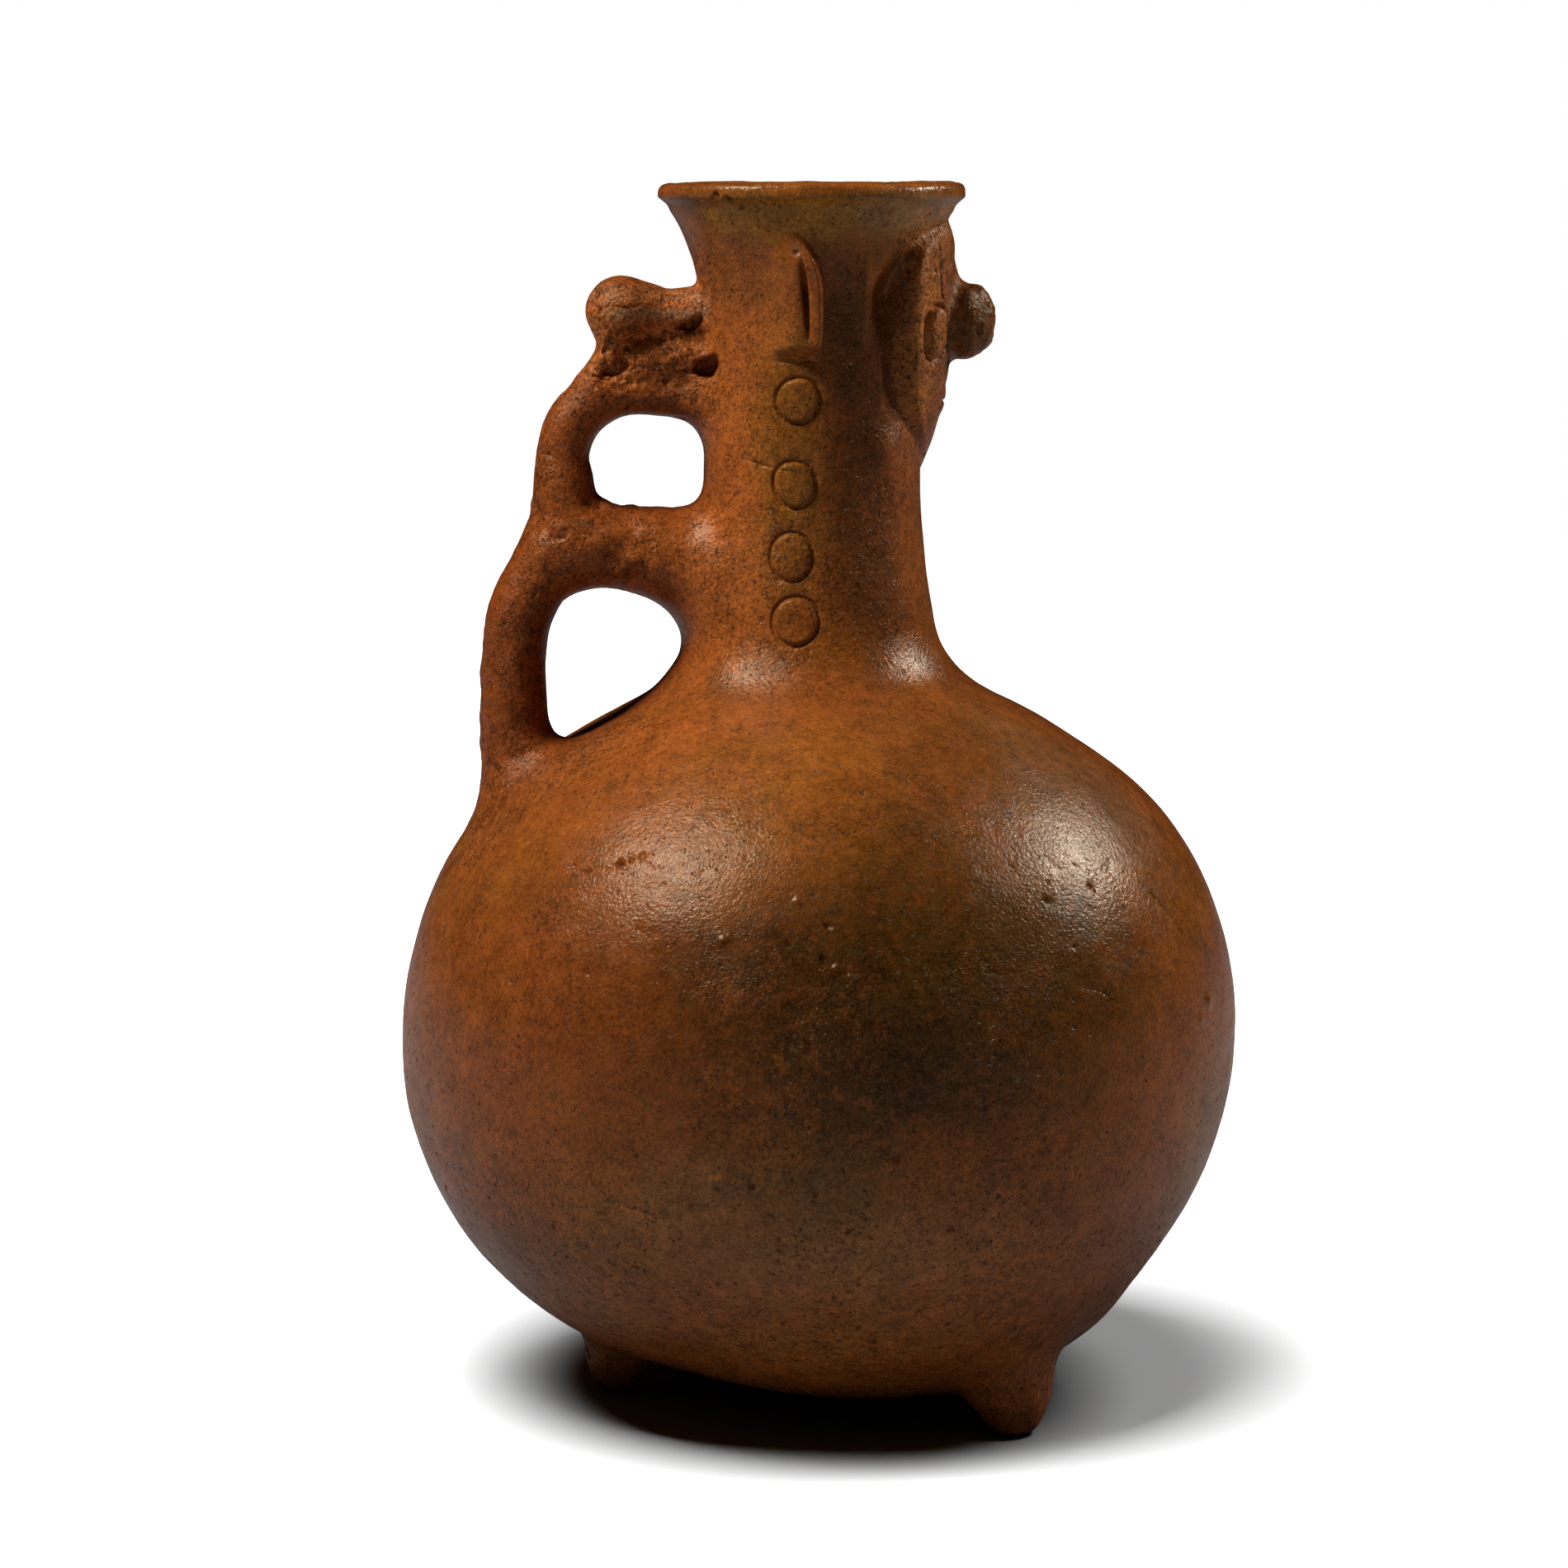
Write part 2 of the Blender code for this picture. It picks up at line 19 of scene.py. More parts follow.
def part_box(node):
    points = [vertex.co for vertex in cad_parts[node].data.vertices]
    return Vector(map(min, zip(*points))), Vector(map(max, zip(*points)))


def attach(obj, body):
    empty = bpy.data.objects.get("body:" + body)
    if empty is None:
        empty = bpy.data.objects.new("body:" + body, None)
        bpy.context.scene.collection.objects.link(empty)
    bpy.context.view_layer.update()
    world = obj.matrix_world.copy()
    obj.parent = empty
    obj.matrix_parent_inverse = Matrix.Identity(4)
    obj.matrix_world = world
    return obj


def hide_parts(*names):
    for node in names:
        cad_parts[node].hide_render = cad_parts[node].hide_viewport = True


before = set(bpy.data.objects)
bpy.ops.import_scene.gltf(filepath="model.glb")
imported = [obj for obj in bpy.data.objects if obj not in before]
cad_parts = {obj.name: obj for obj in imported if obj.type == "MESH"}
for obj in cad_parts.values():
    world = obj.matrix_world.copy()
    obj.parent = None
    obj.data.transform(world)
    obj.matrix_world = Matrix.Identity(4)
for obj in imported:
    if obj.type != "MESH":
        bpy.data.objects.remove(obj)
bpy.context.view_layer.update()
jug_low, jug_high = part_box("jug")

# The vessel. The belly's radius and the height come from the CAD model.
FLOOR_CLEARANCE = 0.0090
BELLY_RADIUS = jug_high[1]
BELLY_RISE = 0.0981
BELLY_DROP = 0.0950
UNDERSIDE_POWER = 2.35
RIM_Z = jug_high[2]
NECK_RADIUS = 0.0292
NECK_SHIFT = -0.0021
NECK_FOOT_RADIUS = 0.0376
NECK_FOOT_LENGTH = 0.0560
NECK_FOOT_POWER = 1.6
NECK_LENGTH = 0.1325
SHOULDER_BLEND = 0.0150
RIM_RADIUS = 0.0408
RIM_FLARE_LENGTH = 0.0780
RIM_FLARE_POWER = 5.9
WALL = 0.0065
LIP_WALL = 0.0042
LIP_FACE = 0.0036
LIP_ROUNDING = 0.0024
LIP_BEAD = 0.0003
LIP_BEAD_HEIGHT = 0.0010
LIP_CREASE = 0.0004
LIP_CREASE_DROP = 0.0022
LIP_CREASE_WIDTH = 0.0016
RIM_LIFT = 0.0002
RIM_ROUGHNESS = 0.00025
RIM_ROUGHNESS_SIZE = 0.0070

BELLY_Z = FLOOR_CLEARANCE + BELLY_DROP
SHOULDER_Z = RIM_Z - NECK_LENGTH
LIP_Z = RIM_Z - LIP_FACE
NECK_FOOT_Z = SHOULDER_Z - 0.0060
NECK_SHIFT_START = NECK_FOOT_Z - 0.3 * BELLY_RISE

# The slow waves of the lip: (height, waves around, turn).
RIM_WAVES = [
    (0.0004, 1.0, 0.6),
    (0.0002, 3.0, 1.0),
]

# Where the hand-built belly leaves its even round: (right, away, up) as the camera sees it, reach, raise.
UNEVEN = [
    ((0.0980, 0.0, 0.1520), 0.040, 0.0012),
    ((0.0640, 0.0, 0.1840), 0.034, -0.0006),
    ((0.1000, 0.0, 0.0580), 0.048, -0.0032),
    ((0.0700, 0.0, 0.0200), 0.040, 0.0038),
    ((0.1130, 0.0, 0.1000), 0.050, 0.0006),
    ((-0.1110, 0.0, 0.1200), 0.040, -0.0006),
    ((-0.1100, 0.0, 0.0880), 0.040, 0.0009),
    ((-0.0780, 0.0, 0.0280), 0.028, 0.0010),
    ((-0.0580, 0.0, 0.1860), 0.030, -0.0028),
    ((0.0420, 0.0, 0.0080), 0.066, 0.0038),
    ((-0.0420, 0.0, 0.0120), 0.060, 0.0024),
    ((0.0160, -0.0450, 0.0120), 0.062, 0.0048),
    ((0.0600, -0.0420, 0.0200), 0.046, 0.0030),
]

# The feet.
FRONT_FOOT_RADIUS = 0.0089
BACK_FOOT_RADIUS = 0.0080
SOLE_ROUNDING = 0.0065
SOLE_TAPER = 0.0014
SOLE_TAPER_HEIGHT = 0.010
FOOT_STRAIGHT = 0.0045
FOOT_LEAN = 0.34
FOOT_FLARE = 0.46
FOOT_SLOPE = 1.0 + 0.4 * FOOT_FLARE
FOOT_BLEND = 0.0045
FOOT_BOX = ((-0.045, -0.045, -0.010), (0.045, 0.045, 0.060))
BACK_FOOT_REACH = 0.0556
FRONT_FOOT_REACH = 0.0700
FRONT_FOOT_ANGLE = math.radians(47.0)
FEET = [
    (math.pi, BACK_FOOT_REACH, BACK_FOOT_RADIUS),
    (FRONT_FOOT_ANGLE, FRONT_FOOT_REACH, FRONT_FOOT_RADIUS),
    (-FRONT_FOOT_ANGLE, FRONT_FOOT_REACH, FRONT_FOOT_RADIUS),
]

# The handle, as (x, z, radius) along its rolls of clay.
LOWER_LOOP = [
    (-0.0800, 0.1540, 0.0072),
    (-0.0822, 0.1700, 0.0085),
    (-0.0827, 0.1860, 0.0091),
    (-0.0826, 0.2030, 0.0088),
    (-0.0808, 0.2150, 0.0090),
    (-0.0750, 0.2256, 0.0092),
    (-0.0645, 0.2318, 0.0106),
    (-0.0540, 0.2325, 0.0110),
    (-0.0400, 0.2302, 0.0131),
    (-0.0240, 0.2220, 0.0143),
]
LOOP_CORNER = [
    (-0.0690, 0.2400, 0.0060),
    (-0.0610, 0.2368, 0.0078),
]
UPPER_STRAP = [
    (-0.0720, 0.2330, 0.0072),
    (-0.0700, 0.2420, 0.0076),
    (-0.0688, 0.2490, 0.0081),
    (-0.0691, 0.2575, 0.0069),
    (-0.0668, 0.2655, 0.0070),
    (-0.0615, 0.2712, 0.0068),
    (-0.0520, 0.2740, 0.0057),
    (-0.0380, 0.2735, 0.0060),
    (-0.0220, 0.2742, 0.0076),
]
STRAP_WIDENING = 1.15
HANDLE_BLEND = 0.0110
CORNER_BLEND = 0.5 * HANDLE_BLEND
LOOPS_BLEND = 0.6 * HANDLE_BLEND
HANDLE_BOX = ((-0.115, -0.030, 0.130), (-0.010, 0.030, 0.295))

# The animal on the handle. Its trunk, forelimb and web are rolls of clay too, and its head is a lump.
TRUNK = [
    (-0.0525, 0.2968, 0.0080),
    (-0.0465, 0.2970, 0.0068),
    (-0.0400, 0.2956, 0.0066),
    (-0.0250, 0.2960, 0.0080),
]
HEAD = (-0.0535, 0.0, 0.2963)
HEAD_RADII = (0.0091, 0.0092, 0.0090)
FORELIMB = [
    (-0.0555, 0.2900, 0.0042),
    (-0.0572, 0.2840, 0.0033),
    (-0.0612, 0.2765, 0.0044),
]
WEB = [
    (-0.0545, 0.2800, 0.0060),
    (-0.0430, 0.2830, 0.0078),
    (-0.0300, 0.2840, 0.0090),
]
TRUNK_WIDENING = 1.25
LIMB_WIDENING = 1.60
WEB_WIDENING = 0.90
ANIMAL_BLEND = 0.0026
ANIMAL_BOX = ((-0.075, -0.020, 0.260), (-0.010, 0.020, 0.318))

# The animal's hollows are cut from both sides, as outlines of (x, z) with rounded corners.
SLOTS = [
    [(-0.0394, 0.2918), (-0.0322, 0.2955), (-0.0316, 0.2941), (-0.0343, 0.2907)],
    [
        (-0.0348, 0.2800), (-0.0331, 0.2835), (-0.0286, 0.2848),
        (-0.0276, 0.2822), (-0.0292, 0.2788), (-0.0314, 0.2787),
    ],
    [(-0.0600, 0.2786), (-0.0530, 0.2846), (-0.0508, 0.2826), (-0.0520, 0.2801), (-0.0560, 0.2787)],
]
SLOT_INSET = 0.0001
SLOT_CORNER = 0.0010
SLOT_FLOOR_EDGE = 0.0012
SLOT_MOUTH_EDGE = 0.0012
SLOT_FLOOR = 0.0036
SLOTS_BOX = ((-0.070, -0.020, 0.270), (-0.020, 0.020, 0.300))

# The relief on the neck is the same on both sides of the face. Angles are from the face, in degrees.
RELIEF_REACH = 0.012
RELIEF_HEIGHTS = (0.200, 0.326)

# The mask from the chin up: the angle of its edge, the raise of its middle and of its edge, and its bevel.
MASK_EDGE = [
    (0.2545, 6.0),
    (0.2580, 16.0),
    (0.2640, 28.0),
    (0.2720, 38.0),
    (0.2900, 45.5),
    (0.3020, 47.0),
    (0.3110, 45.0),
    (0.3160, 36.0),
    (0.3200, 16.0),
]
MASK_RAISE = [
    (0.2545, 0.0004),
    (0.2620, 0.0032),
    (0.2690, 0.0052),
    (0.2755, 0.0064),
    (0.2830, 0.0076),
    (0.3000, 0.0074),
    (0.3085, 0.0064),
    (0.3136, 0.0050),
    (0.3170, 0.0030),
    (0.3200, 0.0004),
    (0.3210, 0.0),
]
MASK_EDGE_RAISE = [
    (0.2560, 0.0004),
    (0.2640, 0.0014),
    (0.2760, 0.0024),
    (0.2880, 0.0036),
    (0.3100, 0.0040),
    (0.3205, 0.0010),
]
MASK_BEVEL = [
    (0.2560, 0.0056),
    (0.2720, 0.0036),
    (0.2860, 0.0023),
    (0.3060, 0.0024),
    (0.3150, 0.0060),
    (0.3205, 0.0070),
]
BEVEL_SPAN = (-0.35, 0.65)
MASK_ROLL = 0.0009
MASK_ROLL_INSET = 0.0030
MASK_ROLL_FOOT = (0.262, 0.285)
MASK_ROLL_TOP = (0.304, 0.313)

# The hollow beside the mask, its tail, its ridge and the jaw's lump.
# Each is (angle, height, half width, half height, raise).
BESIDE_MASK = [
    (51.5, 0.3000, 0.0068, 0.0140, -0.0036),
    (46.0, 0.2780, 0.0060, 0.0170, -0.0014),
    (68.0, 0.2990, 0.0034, 0.0150, 0.0012),
    (52.0, 0.2600, 0.0085, 0.0075, 0.0009),
]

# The ear: its front edge from the lobe up, as (height, angle), and its slit.
EAR_FRONT = [
    (0.2832, 106.0),
    (0.2842, 98.0),
    (0.2862, 91.5),
    (0.2890, 88.8),
    (0.2960, 88.2),
    (0.3040, 88.8),
    (0.3100, 91.5),
    (0.3150, 96.5),
    (0.3185, 104.0),
]
EAR_BACK = (100.0, 120.0)
EAR_RAISE = 0.0044
EAR_EDGE = 0.0014
EAR_SLIT_FOOT = (95.6, 0.2880)
EAR_SLIT_TOP = (98.6, 0.3122)
EAR_SLIT_WIDTH = 0.0010
EAR_SLIT_DEPTH = 0.0036
EAR_STRIP_RAISE = 0.0008
EAR_STRIP_INSET = 0.6 * EAR_EDGE
EAR_STRIP_WIDTH = 2.2 * EAR_EDGE
EAR_FOOT_FADE = 0.0050
EAR_TOP_FADE = 0.0100
EAR_CREASE = (104.0, 0.2838, 0.0090, 0.0010, -0.0006)

# The pellets, as (height, angle), and how uneven their round edges are.
PELLETS = [(0.2735, 101.7), (0.2515, 103.4), (0.2325, 104.8), (0.2157, 102.0)]
PELLET_RADIUS = 0.0060
PELLET_SEAT = NECK_RADIUS + 0.002
PELLET_RAISE = 0.0008
PELLET_EDGE = 0.0010
PELLET_GROOVE_WIDTH = 0.0007
PELLET_GROOVE_DEPTH = 0.0008
PELLET_GROOVE_GAP = 0.0003
PELLET_OVAL = 0.035
PELLET_CORNERS = 0.020
PELLET_TURN = 400.0

# The eyes and the mouth.
EYE_ANGLE = 27.0
EYE_Z = 0.2906
EYE_RADII = (0.0040, 0.0071)
EYE_RAISE = 0.0012
EYE_EDGE = 0.0012
EYE_DOME = 0.0009
EYE_GROOVE_WIDTH = 0.0009
EYE_GROOVE_GAP = 0.4 * EYE_GROOVE_WIDTH
EYE_GROOVE_DEPTH = 0.0013
MOUTH_Z = 0.2722
MOUTH_RADII = (0.0080, 0.0038)
MOUTH_RAISE = 0.0005
MOUTH_EDGE = 0.0020
MOUTH_SLIT_HEIGHT = 0.0008
MOUTH_SLIT_DEPTH = 0.0005

# The nose is two lumps, each with a middle and radii.
NOSE_KNOB = (0.0368, 0.0, 0.2936)
NOSE_KNOB_RADII = (0.0106, 0.0092, 0.0104)
NOSE_KNOB_POWER = 2.3
NOSE_BRIDGE = (0.0307, 0.0, 0.3012)
NOSE_BRIDGE_RADII = (0.0072, 0.0066, 0.0110)
NOSE_BLEND = 0.0030
NOSE_JOINT = 0.0022
NOSE_BOX = ((0.010, -0.020, 0.270), (0.060, 0.020, 0.328))

# Wear on the outside: the size of its lumps, how far they stand off, and an offset into the noise.
WEAR = [
    (0.0350, 0.00036, 5.0),
    ((0.0160, 0.0160, 0.0090), 0.00012, 15.0),
]
WEAR_REACH = 0.0030
OUTER_CLAY = 0.0032
FINE_WEAR_SIZE = 0.0036
FINE_WEAR = 0.00008
PITTING_SIZE = 0.0026
PITTING_SPAN = (0.62, 0.90)
PITTING_DEPTH = 0.00035

# Single pits and lumps as (pixel, half width).
PITS = [
    ((696, 1049), 0.0011),
    ((752, 1046), 0.0017),
    ((765, 1041), 0.0012),
    ((778, 1037), 0.0014),
    ((852, 1055), 0.0006),
    ((773, 1127), 0.0011),
    ((713, 1180), 0.0009),
    ((903, 1040), 0.0006),
    ((915, 961), 0.0007),
    ((887, 990), 0.0006),
    ((999, 1161), 0.0021),
    ((1008, 1168), 0.0016),
    ((1003, 1123), 0.0015),
    ((1026, 1180), 0.0010),
    ((955, 1146), 0.0007),
    ((1065, 1078), 0.0009),
    ((1145, 955), 0.0009),
    ((1301, 1048), 0.0006),
    ((1320, 1074), 0.0012),
    ((1326, 1080), 0.0008),
    ((1227, 1051), 0.0007),
    ((1267, 1092), 0.0008),
    ((1301, 1147), 0.0008),
    ((620, 1190), 0.0011),
    ((630, 1270), 0.0012),
    ((868, 1440), 0.0015),
    ((912, 1438), 0.0014),
    ((988, 1447), 0.0012),
    ((1204, 1476), 0.0010),
    ((1153, 1489), 0.0015),
    ((1030, 1580), 0.0009),
    ((885, 243), 0.0018),
    ((899, 250), 0.0013),
    ((868, 236), 0.0016),
    ((722, 357), 0.0020),
    ((729, 346), 0.0015),
    ((716, 368), 0.0014),
    ((738, 370), 0.0010),
    ((829, 450), 0.0012),
    ((965, 306), 0.0014),
    ((1139, 299), 0.0008),
    ((1130, 411), 0.0008),
    ((1188, 415), 0.0006),
    ((1108, 447), 0.0006),
    ((648, 720), 0.0011),
    ((602, 770), 0.0011),
    ((712, 1640), 0.0024),
]
LUMPS = [
    ((967, 1091), 0.0017),
    ((876, 1139), 0.0016),
    ((990, 1371), 0.0026),
    ((869, 1432), 0.0022),
    ((1080, 1410), 0.0020),
    ((1465, 1210), 0.0024),
    ((1455, 1236), 0.0018),
]
PIT_DEPTH_SHARE = 0.62
LUMP_RAISE_SHARE = 0.30

# Cracks and scores as (pixels along them, half width).
CRACKS = [
    ([(690, 1050), (704, 1056), (712, 1057), (724, 1053), (738, 1052), (750, 1045), (766, 1038)], 0.00028),
    ([(765, 1036), (782, 1044), (797, 1055)], 0.00028),
    ([(878, 552), (905, 557), (930, 566), (955, 571), (990, 577)], 0.00045),
    ([(895, 596), (884, 610), (870, 625)], 0.00040),
    ([(776, 1182), (805, 1192), (850, 1202)], 0.00030),
    ([(1311, 1197), (1326, 1199), (1342, 1206)], 0.00030),
    ([(1392, 1081), (1412, 1103), (1435, 1135)], 0.00040),
    ([(1020, 1535), (1034, 1550), (1040, 1556)], 0.00050),
    ([(1056, 1532), (1042, 1548)], 0.00050),
    ([(750, 1460), (780, 1468), (810, 1480)], 0.00030),
    ([(845, 336), (845, 347), (838, 355), (825, 358), (812, 355), (798, 350)], 0.00080),
    ([(744, 371), (757, 373), (773, 371)], 0.00060),
    ([(737, 409), (753, 399), (775, 395), (802, 392)], 0.00080),
    ([(741, 404), (738, 414), (732, 426)], 0.00110),
    ([(764, 449), (772, 444), (780, 445)], 0.00060),
    ([(720, 455), (729, 459), (739, 462)], 0.00070),
    ([(1139, 300), (1140, 330), (1142, 362)], 0.00050),
    ([(1250, 1634), (1262, 1629), (1276, 1625)], 0.00080),
    ([(666, 650), (676, 653), (684, 652)], 0.00060),
    ([(652, 546), (660, 551), (668, 552)], 0.00050),
]
CRACK_DEPTH_SHARE = 1.1
FLAW_WAVER = 0.0004
FLAW_WAVER_SIZE = 0.0022

# Rough, crumpled places: (low corner, high corner, lump size, height).
ROUGH_ZONES = [
    ((-0.0620, -0.0200, 0.2730), (-0.0280, 0.0200, 0.2940), 0.0018, 0.00036),
    ((-0.0800, -0.0200, 0.2230), (-0.0440, 0.0200, 0.2480), 0.0036, 0.00060),
    ((-0.0960, -0.0200, 0.1720), (-0.0780, 0.0200, 0.2150), 0.0034, 0.00030),
    ((0.0150, -0.0290, 0.2650), (0.0310, 0.0290, 0.3200), 0.0020, 0.00026),
    ((0.0280, -0.0160, 0.2800), (0.0500, 0.0160, 0.3080), 0.0036, 0.00045),
]
ZONE_FADE = 0.0040

# How coarse the grain is: fine where the clay was burnished, and coarser in some boxes.
# Each box is (low corner, high corner, fade, grain).
BURNISHED_GRAIN = 0.42
GRAIN_ZONES = [
    ((-0.0450, -0.1300, 0.0700), (0.0650, -0.0600, 0.1450), 0.020, 0.80),
    ((-0.1300, -0.1300, -0.0400), (0.1300, 0.1300, 0.1000), 0.045, 0.75),
    ((-0.0500, -0.0500, 0.1960), (0.0500, 0.0500, 0.3140), 0.016, 0.70),
    ((-0.1200, -0.0400, 0.1450), (-0.0380, 0.0400, 0.3000), 0.010, 1.00),
    ((-0.0700, -0.0200, 0.2680), (-0.0260, 0.0200, 0.3160), 0.006, 1.40),
    ((0.0150, -0.0300, 0.2600), (0.0520, 0.0300, 0.3240), 0.005, 1.10),
]
GRAIN_SPREAD = 0.40
GRAIN_SPREAD_SIZE = 0.012

# The camera, which also says where the photograph's pixels lie on the clay.
CAMERA_TURN = math.radians(-4.0)
CAMERA_DISTANCE = 1.22
CAMERA_HEIGHT = 0.330
CAMERA_SIDE = -0.00959
CAMERA_PITCH = math.radians(7.557952)
LENS = 103.96
SENSOR = 36.0
PHOTO_SIZE = 1900
SEEK_MARGIN = 0.15
SEEK_STRIDE = 0.7

# How finely the mesh is drawn.
VOXEL = 0.0010
BLOCK = 4
BLOCK_REACH = 0.0080
BLOCKS_AT_ONCE = 4000
GRID_MARGIN = 0.006
PROBE = 0.00030
LEAST_STEEPNESS = 0.1
FINE_LEVELS = 2
MOST_TRIANGLES = 196000

# Where small faces are wanted: heights, angles from the face in degrees, and boxes.
INNER_WALL = 0.0048
RELIEF_DETAIL = (0.206, 0.322, 122.0)
ANIMAL_DETAIL = ((-0.080, -0.022, 0.262), (-0.020, 0.022, 0.312))
FACE_DETAIL = ((0.015, -0.030, 0.262), (0.050, 0.030, 0.312))
FACE_DETAIL_ANGLE = 40.0
EAR_DETAIL_HEIGHTS = (0.283, 0.316)
EAR_DETAIL_ANGLES = (86.0, 101.0)
SLOTS_DETAIL = ((-0.064, -0.022, 0.276), (-0.024, 0.022, 0.298))
PELLET_DETAIL = 0.0016

NOISE_SIZE = 32
lattice = np.random.default_rng(11).random(NOISE_SIZE**3, dtype=np.float32)


# Small numeric helpers


def soft_min(first, second, blend):
    """The lower of two distances, with a fillet where both are near."""
    share = np.clip(0.5 + 0.5 * (second - first) / blend, 0.0, 1.0)
    return second + (first - second) * share - blend * share * (1.0 - share)


def soft_max(first, second, blend):
    return -soft_min(-first, -second, blend)


def smooth_step(value, low, high):
    share = np.clip((value - low) / (high - low), 0.0, 1.0)
    return share * share * (3.0 - 2.0 * share)


def between(value, low, high):
    return (value > low) & (value < high)


def bump(gap, width):
    """One at a gap of zero, falling smoothly to nothing at the width."""
    share = np.clip(1.0 - (gap / width) ** 2, 0.0, 1.0)
    return share * share


def noise(points, size, offset=0.0):
    """Smooth noise from -1 to 1, whose lumps have about the given size. Each use has an offset of its own."""
    place = points / np.float32(size) + np.float32(offset)
    corner = np.floor(place)
    share = place - corner
    share = share * share * (3.0 - 2.0 * share)
    low = corner.astype(np.int32) % NOISE_SIZE
    high = (low + 1) % NOISE_SIZE
    rows = (low[:, 0] * NOISE_SIZE, high[:, 0] * NOISE_SIZE)
    total = 0.0
    for x_index in (0, 1):
        x_share = share[:, 0] if x_index else 1.0 - share[:, 0]
        for y_index in (0, 1):
            y_share = share[:, 1] if y_index else 1.0 - share[:, 1]
            base = (rows[x_index] + (high if y_index else low)[:, 1]) * NOISE_SIZE
            near = lattice[base + low[:, 2]]
            far = lattice[base + high[:, 2]]
            total = total + x_share * y_share * (near + (far - near) * share[:, 2])
    return 2.0 * total - 1.0


def smooth_path(corners, rows=5):
    """A Catmull-Rom curve through tuples of numbers."""
    corners = np.asarray(corners, dtype=float)
    points = []
    for index in range(len(corners) - 1):
        first = corners[max(index - 1, 0)]
        second = corners[index]
        third = corners[index + 1]
        fourth = corners[min(index + 2, len(corners) - 1)]
        for t in np.arange(rows) / rows:
            linear = third - first
            square = 2.0 * first - 5.0 * second + 4.0 * third - fourth
            cube = 3.0 * second - first - 3.0 * third + fourth
            points.append(second + 0.5 * (linear * t + square * t**2 + cube * t**3))
    points.append(corners[-1])
    return np.array(points, dtype=np.float32)


def along(curve, height):
    """The second value of a curve at each height, which is its first value."""
    return np.interp(height, curve[:, 0], curve[:, 1])


def from_camera_side(x, y, z):
    """A point given as right, away and up from the camera's side, in the jug's own axes."""
    return Matrix.Rotation(CAMERA_TURN, 3, "Z") @ Vector((x, y, z))


mask_edge = smooth_path(MASK_EDGE)
mask_raise = smooth_path(MASK_RAISE)
mask_edge_raise = smooth_path(MASK_EDGE_RAISE)
mask_bevel = smooth_path(MASK_BEVEL)
ear_front = smooth_path(EAR_FRONT)
lower_loop = smooth_path(LOWER_LOOP, 4)
upper_strap = smooth_path(UPPER_STRAP, 4)
trunk = smooth_path(TRUNK, 4)
forelimb = smooth_path(FORELIMB, 4)
web = smooth_path(WEB, 4)
uneven_places = [
    (np.array(from_camera_side(*place), dtype=np.float32), reach, height) for place, reach, height in UNEVEN
]


# The vessel's field


def neck_shift(height):
    return NECK_SHIFT * smooth_step(height, NECK_SHIFT_START, NECK_FOOT_Z)


def neck_radius(height):
    foot = np.clip(1.0 - (height - NECK_FOOT_Z) / NECK_FOOT_LENGTH, 0.0, 1.0) ** NECK_FOOT_POWER
    flare = np.clip(1.0 - (LIP_Z - height) / RIM_FLARE_LENGTH, 0.0, 1.0) ** RIM_FLARE_POWER
    bead = LIP_BEAD * smooth_step(height, LIP_Z - LIP_BEAD_HEIGHT, LIP_Z)
    bead -= LIP_CREASE * bump(height - LIP_Z + LIP_CREASE_DROP, LIP_CREASE_WIDTH)
    return NECK_RADIUS + (NECK_FOOT_RADIUS - NECK_RADIUS) * foot + (RIM_RADIUS - NECK_RADIUS) * flare + bead


def neck_slope(height):
    """How much a sideways gap to the flare overstates the true distance."""
    share = np.clip(1.0 - (LIP_Z - height) / RIM_FLARE_LENGTH, 0.0, 1.0)
    rise = (RIM_RADIUS - NECK_RADIUS) * RIM_FLARE_POWER / RIM_FLARE_LENGTH * share ** (RIM_FLARE_POWER - 1.0)
    return np.sqrt(1.0 + rise**2)


def belly_field(radius, height):
    """Distance to the belly, an ellipse above and a squarer curve below."""
    above = height > BELLY_Z
    depth = np.where(above, BELLY_RISE, BELLY_DROP)
    power = np.where(above, 2.0, UNDERSIDE_POWER)
    across = np.maximum(radius / BELLY_RADIUS, 1e-4)
    along_axis = np.maximum(np.abs(height - BELLY_Z) / depth, 1e-4)
    share = (across**power + along_axis**power) ** (1.0 / power)
    steepness = share ** (1.0 - power) * np.hypot(
        across ** (power - 1.0) / BELLY_RADIUS, along_axis ** (power - 1.0) / depth
    )
    return (share - 1.0) / steepness


def uneven(points):
    """How far the hand-built belly stands off its even round."""
    total = np.zeros(len(points), np.float32)
    for centre, reach, height in uneven_places:
        total += height * bump(np.linalg.norm(points - centre, axis=1), reach)
    return total


def arc(angle):
    """The way round the neck over an angle in degrees."""
    return angle * math.radians(1.0) * NECK_RADIUS


def oval_gap(angle, height, centre_angle, centre_z, half_width, half_height):
    """One on the edge of an oval on the neck, and nothing in its middle."""
    return np.hypot(arc(angle - centre_angle) / half_width, (height - centre_z) / half_height)


def oval_edge(angle, height, centre_angle, centre_z, half_width, half_height):
    """About the distance to the edge of an oval on the neck, below zero inside it."""
    side = arc(angle - centre_angle)
    rise = height - centre_z
    share = np.maximum(np.hypot(side / half_width, rise / half_height), 0.05)
    slope = np.hypot(side / half_width**2, rise / half_height**2) / share
    return (share - 1.0) / np.maximum(slope, 1.0 / half_height)


def oval(angle, height, centre_angle, centre_z, half_width, half_height, raise_by):
    """A soft oval relief on the neck."""
    return raise_by * bump(oval_gap(angle, height, centre_angle, centre_z, half_width, half_height), 1.0)


